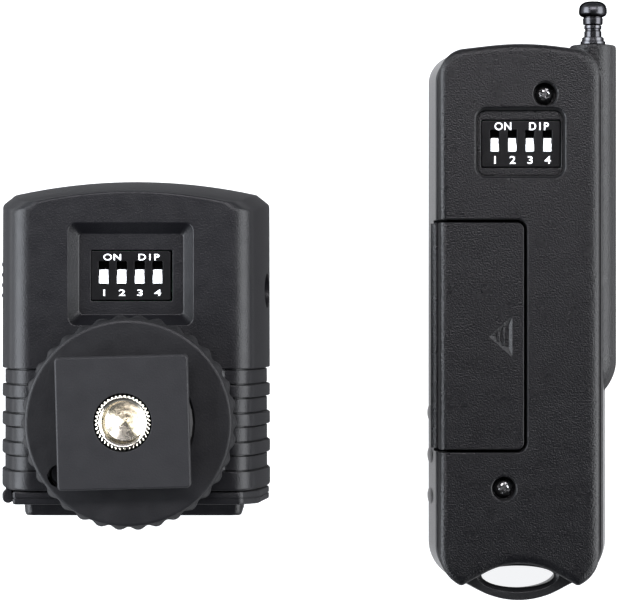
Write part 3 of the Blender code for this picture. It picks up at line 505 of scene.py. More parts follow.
def receiver_ring(z, half, crown, bottom=RX_BOTTOM, sink=(0.0, 0.0)):
    """One closed ring of the receiver's skin; sink is how far the rib bands go inwards and down."""
    parts = receiver_parts(half, crown, bottom)
    side = []
    start, end = parts[1][-1], parts[2][0]
    for station, share in RIB_STATIONS:
        y = max(station, start.y + 0.02)
        run = (y - start.y) / (end.y - start.y)
        x = start.x + (end.x - start.x) * run - RX
        side.append((x - share * sink[0], y, z - share * sink[1]))
    ring = level(parts[0] + parts[1], z)
    ring += [Vector((RX + x, y, height)) for x, y, height in side]
    ring += level([point for part in parts[2:] for point in part], z)
    ring += [Vector((RX - x, y, height)) for x, y, height in reversed(side)]
    return ring


def receiver_skin():
    """(z, half width, crown, bottom, sink) up the back shell: drafted wall, big fillet, flat back."""
    def crown(z):
        return 17.3 - 0.035 * (z - WALL_LOW) - 0.006 * (z - WALL_LOW) ** 2

    rows = [(9.1, RX_HALF_WIDTH - 0.16, 17.15, RX_BOTTOM + 0.1, (RIB_DEPTH, 0.0))]
    for z in (WALL_LOW, 11.0, 13.0, 15.0, 17.0, 19.0, 20.6):
        half = RX_HALF_WIDTH - 0.038 * (z - WALL_LOW) - 0.01017 * (z - WALL_LOW) ** 2
        rows.append((z, half, crown(z), RX_BOTTOM, (RIB_DEPTH, 0.0)))
    for step in range(13):
        share = step / 12
        turn = radians(16 + 74 * share)
        z = FILLET_CENTRE[1] + FILLET_RADIUS * sin(turn)
        rows.append((z, FILLET_CENTRE[0] + FILLET_RADIUS * cos(turn), crown(z) - 0.35 * share ** 9,
                     RX_BOTTOM + 0.35 * share ** 12, (RIB_DEPTH * cos(turn), RIB_DEPTH * sin(turn))))
    flat = rows[-1]
    for half, share in ((13.75, 1.0), (13.32, 0.95), (13.18, 0.75), (13.02, 0.15), (12.86, 0.0)):
        rows.append((RX_BACK, half, flat[2] - 0.8 * (flat[1] - half), flat[3] + 0.3 * (flat[1] - half),
                     (0.0, RIB_DEPTH * share)))
    return rows


def receiver_back_shell():
    shape = Shape()
    outer = shape.skin([receiver_ring(*row) for row in receiver_skin()])
    centre = (RX, WINDOW_Y)
    window = []
    for z, blend, grow in ((RX_BACK, 0.0, 0.16), (23.97, 0.0, 0.05), (23.9, 0.0, -0.02), (23.78, 0.05, 0.0),
                           (22.5, 0.92, 0.0), (22.36, 1.0, 0.0), (WINDOW_FLOOR, 1.0, -0.14)):
        size = [a + (b - a) * blend + 2 * grow for a, b in zip(WINDOW_OUTER, WINDOW_INNER)]
        window.append(level(rectangle(centre, size, 1.15 - 0.5 * blend, 7), z))
    window = shape.skin(window)
    shape.cap(outer[-1], window[0])
    size = (DIP_LENGTH + DIP_CLEARANCE, RX_DIP_WIDTH + DIP_CLEARANCE)
    hole = shape.skin(frames((RX + 0.05, RX_DIP[1]), size, 0.25, (
        (WINDOW_FLOOR, 0.1), (22.25, 0.02), (22.15, 0.0), (20.9, 0.0)), 5))
    shape.cap(window[-1], hole[0])
    inner = shape.skin([receiver_ring(z, half, crown, RX_BOTTOM + 1.5) for z, half, crown in
                        ((20.9, 14.9, 14.7), (19.4, 15.75, 15.1), (9.1, 17.6, 15.6))])
    shape.cap(inner[0], hole[-1])
    shape.bridge(inner[-1], outer[0])
    shape.combine(block((RX - 15.6, -28.0, 5.0), (RX + 15.6, -25.0, 20.3)))  # battery opening
    y, z = SOCKET
    jack = turned([(0.0, 0.0), (2.5, 0.0), (2.5, 8.0), (0.0, 8.0)])
    shape.combine(jack.moved(aimed((RX + 14.0, y, z), (1, 0, 0))))
    y, z = KNOB
    shape.combine(block((RX - 21.0, y - 5.3, z - 2.1), (RX - 14.0, y + 3.1, z + 2.1)))
    shape.finish("receiver_back_case", "receiver", "body", "black_matte_plastic", ["receiver_back_shell"])


def receiver_front_shell():
    shape = Shape()
    rows = [(0.0, 17.45, 15.8, 0.0), (0.05, 17.75, 16.05, 0.0), (0.2, 18.05, 16.3, 0.0),
            (0.5, 18.35, 16.55, 0.0), (1.0, 18.65, 16.75, 0.0), (1.8, 18.95, 16.9, 0.3),
            (2.4, 19.0, 16.95, 1.0), (8.72, 19.48, 17.2, 1.0), (8.84, 19.44, 17.16, 1.0),
            (8.9, 19.3, 17.05, 1.0)]
    outer = shape.skin([receiver_ring(z, half, crown, RX_BOTTOM, (share * RIB_DEPTH, 0.0))
                        for z, half, crown, share in rows])
    sink = ((0.0, 1.9), (0.12, 1.77), (0.3, 1.75), (2.6, 1.75))
    holes = [shape.pit(rounds(place, sink, 32)) for place in RX_SCREWS]
    light = shape.skin(rounds(RX_LED, ((0.0, 1.7), (0.12, 1.57), (0.3, 1.55), (1.8, 1.55)), 32))
    shape.cap(outer[0], light[0], *holes)
    inner = shape.skin([receiver_ring(z, half, crown, RX_BOTTOM + 1.5) for z, half, crown in
                        ((1.8, 17.1, 15.3), (8.9, 17.8, 15.7))])
    shape.cap(inner[0], light[-1])
    shape.bridge(inner[-1], outer[-1])
    shape.combine(block((RX - 15.0, -28.0, 2.6), (RX + 15.0, -25.0, 12.0)))  # battery opening
    shape.finish("receiver_front_case", "receiver", "body", "black_matte_plastic", ["receiver_front_shell"])
    for name, z0, z1 in (("knuckle_front", 1.2, 5.0), ("knuckle_back", 16.0, 19.6)):
        rings = stack(knuckle_outline, ((z0, 0.2), (z0 + 0.06, 0.08), (z0 + 0.2, 0.0), (z1 - 0.2, 0.0),
                                        (z1 - 0.06, 0.08), (z1, 0.2)))
        Shape().solid(rings).finish(name, "receiver", "body", "black_matte_plastic")


def knuckle_outline(inset):
    """Rounded block on the hinge axis with a narrow web up to the body."""
    x, y = HINGE[0] + 0.25, HINGE[1]
    radius = 0.8 - inset
    top = y + 0.55 - inset
    web = [(x + radius, top - 0.1), (x + radius - 0.1, top), (x + 0.5, top), (x + 0.5, -26.1),
           (x - 0.3, -26.1), (x - 0.3, top), (x - radius + 0.1, top), (x - radius, top - 0.1)]
    return half_circle(x, y - 0.1, radius, 180) + [Vector(point) for point in web]


# ---- receiver battery door

def door_outline(inset):
    left = -16.75 + inset
    return outline([
        (left, 0.4 + inset, 0.3, 3), (18.3 - 0.8 * inset, 0.4 + inset, 0.9, 5),
        (RX_HALF_WIDTH - 0.15 - inset, 9.0, 3.0, 5), (18.1 - inset, 20.0, 2.6, 8),
        (15.6 - 0.5 * inset, 23.2 - inset, 1.2, 6), (left, 23.2 - inset, 0.4, 3)])


def upright(points, y):
    """Outline drawn in x and z, standing in the plane at y."""
    return [Vector((RX + point[0], y, point[1])) for point in points]


def receiver_battery_door():
    shape = Shape()
    plate = [(DOOR_INNER_Y, 0.25), (DOOR_INNER_Y - 0.08, 0.07), (DOOR_INNER_Y - 0.25, 0.0),
             (-27.78, 0.0), (-27.84, 0.14), (-27.94, 0.14), (-28.0, 0.0),
             (DOOR_OUTER_Y + 0.25, 0.0), (DOOR_OUTER_Y + 0.08, 0.07), (DOOR_OUTER_Y, 0.25)]
    made = shape.skin([upright(door_outline(inset), y) for y, inset in plate])
    shape.cap(made[0])
    raised = []
    for y, inset in ((DOOR_OUTER_Y, -0.15), (DOOR_OUTER_Y - 0.1, 0.0), (DOOR_BLOCK_Y + 0.5, 0.1),
                     (DOOR_BLOCK_Y + 0.15, 0.25), (DOOR_BLOCK_Y + 0.03, 0.42), (DOOR_BLOCK_Y, 0.65)):
        size = (31.4 - 2 * inset, 13.6 - 2 * inset)
        raised.append(upright(rectangle((0.0, 10.8), size, 1.3 - 0.5 * inset, 6), y))
    raised = shape.skin(raised)
    shape.cap(made[-1], raised[0])
    shape.cap(raised[-1])
    shape.finish("door_plate", "battery_door", "body", "black_matte_plastic", ["receiver_battery_door"])
    x, y = HINGE
    barrel = []
    for z, inset in ((5.2, 0.15), (5.35, 0.0), (15.65, 0.0), (15.8, 0.15)):
        radius = 0.95 - inset
        flat = [(x + 1.6, y - radius), (x + 1.6, y + radius)]
        barrel.append(level(half_circle(x, y, radius, 90) + flat, z))
    Shape().solid(barrel).finish("door_barrel", "battery_door", "body", "black_matte_plastic")
    tongue = soft_block((RX + 14.4, -27.2, 10.5), (RX + 15.3, -24.4, 14.5), 0.3)
    tongue.finish("door_tongue", "battery_door", "body", "black_matte_plastic")


# ---- foot, ring and insert

def square_ring(half, radius, z):
    turn = Matrix.Rotation(FOOT_TURN, 2)
    return [Vector((*(turn @ point), z)) + Vector((*PLATE, 0.0))
            for point in rectangle((0, 0), (2 * half, 2 * half), radius, 6)]


def shoe_foot():
    shape = Shape()
    plate = shape.skin([square_ring(FOOT_HALF - inset, 0.6 - 0.5 * inset, z) for z, inset in (
        (FOOT_BOTTOM, 0.2), (FOOT_BOTTOM + 0.05, 0.06), (FOOT_BOTTOM + 0.2, 0.0), (FOOT_TOP - 0.3, 0.0),
        (FOOT_TOP - 0.16, 0.03), (FOOT_TOP - 0.06, 0.1), (FOOT_TOP - 0.015, 0.2), (FOOT_TOP, 0.32),
        (FOOT_TOP, 0.6))])
    hole = shape.skin(rounds(PLATE, (
        (FOOT_TOP, 4.12), (FOOT_TOP - 0.04, 4.06), (FOOT_TOP - 0.15, 4.03), (27.0, 4.03))))
    shape.cap(plate[-1], hole[0])
    shape.cap(hole[-1])
    neck = rounds((0, 0), ((FOOT_BOTTOM, 6.35), (FOOT_BOTTOM - 0.12, 6.08)))
    neck += threaded_rings(NECK_RADIUS, 0.35, THREAD_PITCH, 24.5, FOOT_BOTTOM - 0.3)
    neck += rounds((0, 0), ((24.1, 5.7),))
    neck = shape.skin(shifted(neck, RX, FOOT_Y))
    shape.cap(plate[0], neck[0])
    shape.cap(neck[-1])
    shape.finish("shoe_foot_plate", "receiver", "foot", "black_satin_plastic", ["shoe_foot"])


def toothed(centre, tooth, count, rows):
    """Level rings for (radius, z, depth) rows, where tooth is each point's share of the depth."""
    turn = 2 * pi / (len(tooth) * count)
    rings = []
    for radius, z, depth in rows:
        reaches = [radius - depth * share for share in tooth] * count
        rings.append([Vector((centre[0] + reach * cos(turn * step), centre[1] + reach * sin(turn * step), z))
                      for step, reach in enumerate(reaches)])
    return rings


def lock_ring():
    shape = Shape()
    profile = [(13.9, 25.0, 0.0), (14.2, 25.04, 0.05), (14.6, 25.2, 0.2), (14.9, 25.45, 0.38),
               (15.03, 25.75, 0.46), (15.05, 26.1, 0.48), (15.05, 28.0, 0.48), (15.02, 28.3, 0.48),
               (14.95, 28.6, 0.46), (14.84, 28.85, 0.38), (14.7, 29.05, 0.26), (14.56, 29.2, 0.12),
               (14.48, 29.35, 0.03), (14.45, 29.55, 0.0), (14.41, 29.75, 0.0), (14.32, 29.89, 0.0),
               (14.15, 29.97, 0.0), (13.9, 30.0, 0.0), (13.3, 30.0, 0.0)]
    scallop = [(0.5 - 0.5 * cos(2 * pi * step / 10)) ** 1.25 for step in range(10)]
    outer = shape.skin(toothed((RX, FOOT_Y), scallop, SCALLOPS, profile))
    through = shape.skin(rounds((RX - 9.6, FOOT_Y - 7.3), (
        (RING_TOP, 1.62), (RING_TOP - 0.05, 1.52), (RING_TOP - 0.18, 1.46), (RING_BOTTOM + 0.15, 1.45),
        (RING_BOTTOM, 1.6)), 32))
    seat = shape.skin(rounds((RX, FOOT_Y), (
        (RING_TOP, 9.32), (RING_TOP - 0.1, 9.2), (RING_TOP - 0.7, 9.2))))
    bore = rounds((0, 0), ((RING_TOP - 0.7, 6.4), (RING_TOP - 0.8, 6.3)))
    bore += threaded_rings(6.35, 0.18, THREAD_PITCH, RING_BOTTOM + 0.2, RING_TOP - 0.9)
    bore += rounds((0, 0), ((RING_BOTTOM, 6.5),))
    bore = shape.skin(shifted(bore, RX, FOOT_Y))
    shape.cap(outer[-1], through[0], seat[0])
    shape.cap(seat[-1], bore[0])
    shape.cap(outer[0], through[-1], bore[-1])
    shape.finish("thumb_ring", "clamp_ring", "satin", "black_satin_plastic", ["lock_ring"], 30.0)


def tripod_insert():
    """Knurled insert with a chamfered mouth and a quarter-inch thread over a drilled cone."""
    top = FOOT_TOP - 0.06
    shape = Shape()
    outer = shape.skin(toothed(PLATE, (1.0, 0.7, 0.15, 0.0, 0.15, 0.7), INSERT_TEETH, (
        (3.5, 27.0, 0.0), (INSERT_RADIUS, 27.4, 0.34), (INSERT_RADIUS, top - 0.26, 0.42),
        (INSERT_RADIUS - 0.05, top - 0.2, 0.4), (3.42, top, 0.0))))
    bore = rounds((0, 0), ((top, 3.34), (top - 0.08, 3.2), (top - 0.3, 2.98)))
    bore += threaded_rings(3.0, -0.2, 1.27, 29.4, top - 0.35)
    bore += rounds((0, 0), ((29.3, 2.85),))
    for turn in range(14):
        radius = 2.8 - 0.195 * turn
        z = 29.2 - 0.085 * turn
        bore += rounds((0, 0), ((z, radius), (z - 0.07, radius - 0.09)))
    floor = rounds((0, 0), ((27.9, 0.02),))
    shape.cap(*shape.skin(shifted(floor, *PLATE)))
    bore = shape.skin(shifted(bore + floor, *PLATE))
    shape.cap(outer[-1], bore[0])
    shape.cap(outer[0])
    shape.finish("threaded_insert", "receiver", "brass", "pale_brass", ["tripod_insert"], 50.0)


# ---- switch blocks

def legend(name, text, body, centre, height, top, widen, spread=1.1):
    """Flat printed characters, a hair proud of the face, centred on a point."""
    curve = bpy.data.curves.new(name, "FONT")
    curve.body = text
    curve.size = height * 1.43 * MM
    curve.align_x = "CENTER"
    curve.align_y = "CENTER"
    curve.offset = 0.012 * MM
    curve.extrude = 0.01 * MM
    curve.space_character = spread
    item = add_object(name, curve)
    item.scale = (widen, 1.0, 1.0)
    item.location = Vector((centre[0], centre[1], top)) * MM
    bpy.context.view_layer.update()
    mesh = evaluated(item)
    mesh.transform(item.matrix_world)
    bpy.data.objects.remove(item, do_unlink=True)
    mesh.materials.clear()
    mesh.materials.append(LOOKS["ink"])
    plate = add_object(name, mesh)
    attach(plate, body)


def lever(owner, number, x, low_y, width, length, top, rise):
    """White slide lever: a low pad with a taller step at the end away from ON."""
    profile = [(low_y, top - 2.3, 0.05, 1), (low_y + length, top - 2.3, 0.05, 1),
               (low_y + length, top - 0.25, 0.12, 4), (low_y + 0.62 * length, top - 0.25, 0.05, 3),
               (low_y + 0.56 * length, top + rise, 0.14, 4), (low_y, top + rise, 0.14, 4)]
    points = outline(profile)
    middle = Vector((low_y + length / 2, top - 1.1))
    rings = []
    for offset, shrink in ((-width / 2, 0.07), (-width / 2 + 0.03, 0.02), (-width / 2 + 0.09, 0.0),
                           (width / 2 - 0.09, 0.0), (width / 2 - 0.03, 0.02), (width / 2, 0.07)):
        near = [point + (middle - point).normalized() * shrink for point in points]
        rings.append([Vector((x + offset, *point)) for point in near])
    node = f"{owner}_dip_slider_{number}"
    Shape().solid(rings).finish(f"{owner}_lever_{number}", f"{owner}_dip_{number}", "white",
                                "white_plastic", [node])


def switch_block(owner, centre, width, top, bottom, slider, rise, letters, widen):
    (x, y), (across, length) = centre, slider
    shape = Shape()
    outer = shape.skin(frames(centre, (DIP_LENGTH, width), 0.2, (
        (bottom, 0.0), (top - 0.1, 0.0), (top - 0.03, -0.03), (top, -0.1))))
    shape.cap(outer[0])
    low = y - 0.14 - length / 2 - DIP_GAP
    high = low + length + DIP_TRAVEL + 2 * DIP_GAP
    slots = []
    for number in range(4):
        slot_x = x + (number - 1.5) * DIP_PITCH
        size = (across + 2 * DIP_GAP, high - low)
        slots.append(shape.pit(frames((slot_x, (low + high) / 2), size, 0.12, (
            (top, 0.05), (top - 0.05, 0.0), (top - 2.4, 0.0)))))
        lever(owner, number + 1, slot_x, low + DIP_GAP, across, length, top, rise)
        legend(f"{owner}_digit_{number + 1}", str(number + 1), owner,
               (slot_x + 0.05, (low + y - width / 2) / 2 - 0.12), letters, top + 0.012, 1.25 * widen)
    shape.cap(outer[-1], *slots)
    upper = (high + y + width / 2) / 2 - 0.2
    print_z = top + 0.012
    legend(f"{owner}_legend_on", "ON", owner, (x - 1.02 * DIP_PITCH, upper), letters, print_z, widen)
    legend(f"{owner}_legend_dip", "DIP", owner, (x + DIP_PITCH, upper), letters, print_z, widen, 1.4)
    shape.finish(f"{owner}_switch_block", owner, "block", "black_matte_plastic", [f"{owner}_dip_housing"])


# ---- sides of the receiver

def sync_socket():
    y, z = SOCKET
    profile = [(0.0, 0.0), (2.1, 0.0), (2.35, 0.25), (2.4, 0.6), (2.4, 9.45), (2.32, 9.7), (2.2, 9.82),
               (2.05, 9.85), (1.98, 9.8), (1.78, 9.5), (1.75, 9.2), (1.75, 1.1), (0.6, 1.0), (0.0, 1.0)]
    socket = turned(profile).moved(aimed((RX + 8.5, y, z), (1, 0, 0)))
    socket.finish("sync_jack", "receiver", "satin", "black_matte_plastic", ["sync_socket"])
    contact = turned([(0.0, 0.0), (0.32, 0.0), (0.32, 5.6), (0.2, 5.9), (0.0, 6.0)], 20)
    contact.moved(aimed((RX + 9.6, y, z), (1, 0, 0)))
    contact.finish("sync_jack_contact", "receiver", "steel", "bright_steel")
    band = tube([(1.5, 0.0), (1.74, 0.0), (1.74, 2.2), (1.5, 2.2)])
    band.moved(aimed((RX + 14.6, y, z), (1, 0, 0)))
    band.finish("sync_jack_sleeve", "receiver", "steel", "bright_steel")


def power_knob():
    y, z = KNOB
    draft = 0.16
    stand = Matrix(((0, draft, -1, RX - 15.9 - draft * z), (1, 0, 0, 0), (0, 1, 0, 0), (0, 0, 0, 1)))
    plate = soft_block((y - 3.05, z - 2.0, 0.0), (y + 3.05, z + 2.0, 2.72), 0.3, 0.06)
    plate.moved(stand)
    plate.finish("power_knob_plate", "power_knob", "satin", "black_satin_plastic", ["power_switch_knob"])
    for index in range(4):
        centre = y + (index - 1.5) * 1.5
        rib = soft_block((centre - 0.36, z - 1.9, 2.6), (centre + 0.36, z + 1.2, 3.22), 0.3, 0.25)
        rib.moved(stand)
        rib.finish(f"power_knob_rib_{index + 1}", "power_knob", "satin", "black_satin_plastic")
    flange = soft_block((y - 4.2, z - 2.4, -0.15), (y + 5.4, z + 1.85, 0.25), 0.3, 0.05)
    flange.moved(Matrix(((0, 0, -1, RX - 15.9), (1, 0, 0, 0), (0, 1, 0, 0), (0, 0, 0, 1))))
    flange.finish("power_knob_flange", "power_knob", "satin", "black_satin_plastic")


# ---- screws

def screw(name, body, node, place, head_z, tip_z, radius, shank, height):
    """Pan-head screw standing along Z with a Phillips recess in the end at head_z."""
    facing = 1.0 if tip_z > head_z else -1.0
    run = abs(tip_z - head_z)
    profile = [(across * radius, down * height) for across, down in (
        (0.0, 0.0), (0.45, 0.07), (0.74, 0.22), (0.91, 0.42), (0.98, 0.58), (1.0, 0.7), (1.0, 0.92),
        (0.96, 1.0))]
    profile += [(shank + 0.05, height), (shank, height + 0.1)]
    pitch = 0.55
    for turn in range(int((run - height - 1.2) / pitch)):
        z = height + 0.4 + turn * pitch
        profile += [(shank * 0.82, z), (shank, z + 0.5 * pitch)]
    profile += [(shank * 0.8, run - 0.5), (0.15, run), (0.0, run)]
    item = turned(profile, 32)
    reach, slim, deep = 0.72 * radius, 0.17 * radius, 0.75 * height
    star = []
    for z, share in ((-0.3, 1.0), (0.15 * height, 1.0), (deep, 0.35)):
        long, thin = reach * share, slim * (0.7 + 0.3 * share)
        points = [(long, thin), (thin * 1.4, thin * 1.4), (thin, long)]
        for quarter in range(3):
            points += [(-b, a) for a, b in points[-3:]]
        star.append(level(points, z))
    cross = Shape().solid(star)
    item.combine(cross.moved(Matrix.Rotation(radians(20), 4, "Z")))
    item.moved(aimed((*place, head_z), (0, 0, facing)))
    item.finish(name, body, "black_steel", "black_steel", [node], 30.0)


def case_screws(owner, places, **sizes):
    for number, place in enumerate(places, 1):
        screw(f"{owner}_screw_{number}", owner, f"{owner}_case_screw_{number}", place, **sizes)


# ---- transmitter shells

def back_outline(inset, fine=6):
    """The back shell's outline; its right edge is rounded half as wide again as its left."""
    left, right = TX_LEFT + inset, TX_RIGHT - 1.5 * inset
    return outline([
        (left, -39.3 + 0.7 * inset, 5.3 - 2.0 * inset, fine * 2),
        (21.75 + 0.2 * inset, -41.15 + 1.35 * inset, 0.7, fine),
        (TX_MIDDLE, -36.4 + 1.5 * inset, 10.4, fine * 3),
        (38.6 - 0.3 * inset, -41.15 + 1.35 * inset, 0.7, fine),
        (right, -39.4 + 0.7 * inset, 5.0 - 2.1 * inset, fine * 2),
        (right, 36.0 - 0.8 * inset, 3.9 - 0.6 * inset, fine * 2),
        (TX_MIDDLE + 0.3, 37.4 - inset, 40.0 - 2.0 * inset, fine * 3),
        (left, 36.0 - 0.8 * inset, 3.9 - 0.6 * inset, fine * 2)])


def front_outline(inset, fine=6):
    left, right = TX_FRONT_LEFT + inset, TX_FRONT_RIGHT - 1.4 * inset
    return outline([
        (left, -39.0 + 0.4 * inset, 6.0 - inset, fine * 2),
        (TX_MIDDLE, -45.7 + 0.5 * inset, 13.0 - inset, fine * 3),
        (right, -39.0 + 0.4 * inset, 6.0 - inset, fine * 2),
        (right, 36.0 - 0.8 * inset, 4.3 - 0.6 * inset, fine * 2),
        (TX_MIDDLE + 0.3, 37.4 - inset, 40.0 - 2.0 * inset, fine * 3),
        (left, 36.0 - 0.8 * inset, 4.3 - 0.6 * inset, fine * 2)])


BACK_PROFILE = [(10.1, 0.14), (10.18, 0.03), (10.35, 0.0), (12.2, 0.0), (14.2, 0.0), (14.45, 0.04),
                (14.6, 0.12), (14.7, 0.22), (14.78, 0.33), (14.85, 0.46), (14.91, 0.6), (14.95, 0.75),
                (14.98, 0.92), (TX_BACK, 1.15), (TX_BACK, 1.5)]


def lens(grow, z, steps=48):
    """The key-ring hole: flatter above, deeper below, and drafted so that it opens towards the front."""
    depth = 9.9 - z
    points = []
    for point in circle((0, 0), 1.0, steps):
        width = 5.25 if point.x < 0 else 5.25 + 0.085 * depth
        height = 1.35 if point.y > 0 else 1.7 + 0.096 * depth
        points.append(Vector((TX_MIDDLE + (width + grow) * point.x, -40.0 + (height + grow) * point.y, z)))
    return points


def transmitter_front_shell():
    shape = Shape()
    profile = [(0.0, 1.3), (0.06, 0.95), (0.25, 0.6), (0.6, 0.3), (1.2, 0.1), (2.2, 0.0), (9.5, 0.72),
               (9.72, 0.78), (9.85, 0.88), (9.9, 1.0)]
    outer = shape.skin(stack(front_outline, profile))
    loop = shape.skin([lens(grow, z) for z, grow in (
        (9.9, 0.85), (9.82, 0.7), (9.5, 0.27), (9.2, 0.05), (9.0, 0.0), (1.0, 0.0), (0.35, 0.12),
        (0.1, 0.3), (0.0, 0.55))])
    hollow = shape.skin(stack(back_outline, ((9.9, 1.3), (1.2, 1.3))))
    shape.cap(outer[-1], hollow[0], loop[0])
    button = shape.skin(rounds(BUTTON, ((0.0, 5.0), (0.12, 4.78), (0.35, 4.7), (1.2, 4.7)), 48))
    light = shape.skin(rounds(TX_LED, ((0.0, 1.25), (0.15, 1.1), (1.2, 1.1)), 24))
    shape.cap(outer[0], loop[-1], button[0], light[0])
    shape.cap(hollow[-1], button[-1], light[-1])
    x, z = ANTENNA
    tunnel = turned([(0.0, 0.0), (SLEEVE_BORE, 0.0), (SLEEVE_BORE, 50.0), (0.0, 50.0)], 32)
    shape.combine(tunnel.moved(aimed((x, SLEEVE_BOTTOM + 1.5, z), (0, 1, 0))))
    shape.combine(cover_cutter(COVER_GAP, 0.0))
    shape.finish("transmitter_front_case", "transmitter", "charcoal_front", "charcoal_plastic",
                 ["transmitter_front_shell"])
    arc = [(cos(radians(turn)), sin(radians(turn))) for turn in range(-75, 90, 15)]
    for index, y in enumerate((-16.5, -22.7, -28.7)):
        bump = turned([(0.0, -1.0), *arc, (0.0, 1.0)], 24)
        bump.moved(Matrix.Translation((TX_FRONT_LEFT + 0.24, y, 4.2)) @ Matrix.Rotation(0.098, 4, "Y")
                   @ Matrix.Diagonal((0.36, 1.25, 2.6, 1.0)))
        bump.finish(f"grip_bump_{index + 1}", "transmitter", "charcoal_front", "charcoal_plastic")


def sleeve_ring(y, radius, x, z):
    """Circle across the antenna's run, at y."""
    return [Vector((point.x, y, point.y)) for point in circle((x, z), radius)]


def antenna_sleeve():
    """Tubular housing down the side, closed below by a rounded nose that runs into the case."""
    x, z = ANTENNA
    rings = []
    for step in range(15):
        turn = pi / 2 * (1 - step / 14)
        share = cos(turn)
        y = SLEEVE_BOTTOM - 5.4 * sin(turn) ** 1.2
        rings.append(sleeve_ring(y, SLEEVE_RADIUS * (0.28 + 0.72 * share), x - 1.9 * (1 - share),
                                 z - 0.9 * (1 - share)))
    for y, radius in ((SLEEVE_TOP - 0.5, SLEEVE_RADIUS), (SLEEVE_TOP - 0.12, SLEEVE_RADIUS - 0.1),
                      (SLEEVE_TOP, SLEEVE_RADIUS - 0.35), (SLEEVE_TOP, SLEEVE_BORE + 0.1),
                      (SLEEVE_TOP - 0.1, SLEEVE_BORE), (SLEEVE_BOTTOM + 1.5, SLEEVE_BORE)):
        rings.append(sleeve_ring(y, radius, x, z))
    Shape().solid(rings).finish("antenna_sleeve", "transmitter", "charcoal", "charcoal_plastic")


def cover_cutter(grow, edge):
    """The battery cover's outline; edge is how far it flares or shrinks at the back face."""
    left, right = 10.0, COVER_RIGHT + grow
    low, high = COVER_BOTTOM - grow, COVER_TOP + grow
    rings = []
    bottom = COVER_LOW - 0.3 if grow > 0 else 6.0
    for z, flare in ((bottom, 0.0), (TX_BACK - 0.16, 0.0), (TX_BACK - 0.05, edge * 0.4), (TX_BACK, edge),
                     (TX_BACK + 0.5, edge)):
        points = outline([(left, low - flare, 0.2, 2), (right + flare, low - flare, 1.0 + grow, 8),
                          (right + flare, high + flare, 1.0 + grow, 8), (left, high + flare, 0.2, 2)])
        rings.append(level(points, z))
    return Shape().solid(rings)


def transmitter_back_shell():
    shape = Shape()
    outer = shape.skin(stack(back_outline, BACK_PROFILE))
    centre = (TX_DIP[0] - 0.16, TX_DIP[1] + 0.1)
    rows = ((TX_BACK, 0.3), (14.97, 0.18), (14.9, 0.07), (14.78, 0.0), (14.0, -0.12), (13.7, -0.14),
            (13.7, -0.34), (13.9, -0.38))
    window = shape.skin([level(rectangle(centre, (12.8 + 2 * grow, 9.9 + 2 * grow), 1.5 + grow, 8), z)
                         for z, grow in rows])
    hole = shape.skin(frames(TX_DIP, (DIP_LENGTH + DIP_CLEARANCE, TX_DIP_WIDTH + DIP_CLEARANCE), 0.25,
                             ((13.9, 0.08), (13.83, 0.0), (12.2, 0.0)), 4))
    shape.cap(window[-1], hole[0])
    sink = ((TX_BACK, 1.95), (14.93, 1.82), (14.8, 1.74), (12.6, 1.7))
    sinks = [shape.pit(rounds(place, sink, 40)) for place in TX_SCREWS]
    shape.cap(outer[-1], window[0], *sinks)
    inner = shape.skin(stack(back_outline, ((12.2, 1.2), (10.1, 1.2))))
    shape.cap(inner[0], hole[-1])
    shape.bridge(inner[-1], outer[0])
    shape.combine(cover_cutter(COVER_GAP, 0.16))
    shape.finish("transmitter_back_case", "transmitter", "charcoal", "charcoal_plastic",
                 ["transmitter_back_shell"])


def battery_cover():
    shape = Shape()
    side = [(COVER_LOW, -0.85), (COVER_LOW + 0.1, -0.98), (COVER_LOW + 0.3, -1.03), (9.3, -1.01),
            (9.45, -0.98), (9.54, -0.92), (9.72, -0.7), (9.86, -0.48), (9.91, -0.36), (9.94, -0.2),
            (9.94, 0.0), (10.1, 0.02)]
    outer = shape.skin(stack(back_outline, side + BACK_PROFILE[3:]))
    pointer = shape.skin(stack(pointer_outline, (
        (TX_BACK, -0.06), (TX_BACK - 0.03, 0.0), (TX_BACK - 0.28, 0.42), (TX_BACK - 0.34, 0.5))))
    shape.cap(outer[-1], pointer[0])
    shape.cap(pointer[-1])
    inner = shape.skin(stack(back_outline, ((13.8, 1.2), (COVER_LOW, 1.2))))
    shape.cap(inner[0])
    shape.bridge(inner[-1], outer[0])
    shape.combine(cover_cutter(0.0, -0.14), "INTERSECT")
    shape.finish("sliding_cover", "cover", "charcoal", "charcoal_plastic", ["battery_cover"])
    pointer_marks()


def pointer_outline(inset):
    """Triangle that points the way the cover slides."""
    back, half = 29.05 - inset, 2.95 - 2.3 * inset
    return outline([(25.75 + 1.9 * inset, POINTER_Y, 0.06, 2), (back, POINTER_Y - half, 0.12, 3),
                    (back, POINTER_Y + half, 0.12, 3)])


def pointer_marks():
    """Two ridges standing in the sunk pointer on the cover."""
    for index, (x, half) in enumerate(((27.1, 0.75), (27.85, 1.35))):
        low, high = (x - 0.16, POINTER_Y - half, 14.5), (x + 0.16, POINTER_Y + half, 14.95)
        ridge = soft_block(low, high, 0.12, 0.08)
        ridge.finish(f"cover_ridge_{index + 1}", "cover", "charcoal", "charcoal_plastic")


# ---- antenna and front button

def antenna_piece(name, body, shape, bottom, node):
    """Stands a turned piece of the antenna on bottom, along Y."""
    x, z = ANTENNA
    shape.moved(aimed((x, bottom, z), (0, 1, 0)))
    shape.finish(name, body, "chrome", "black_chrome", [node], 32.0)


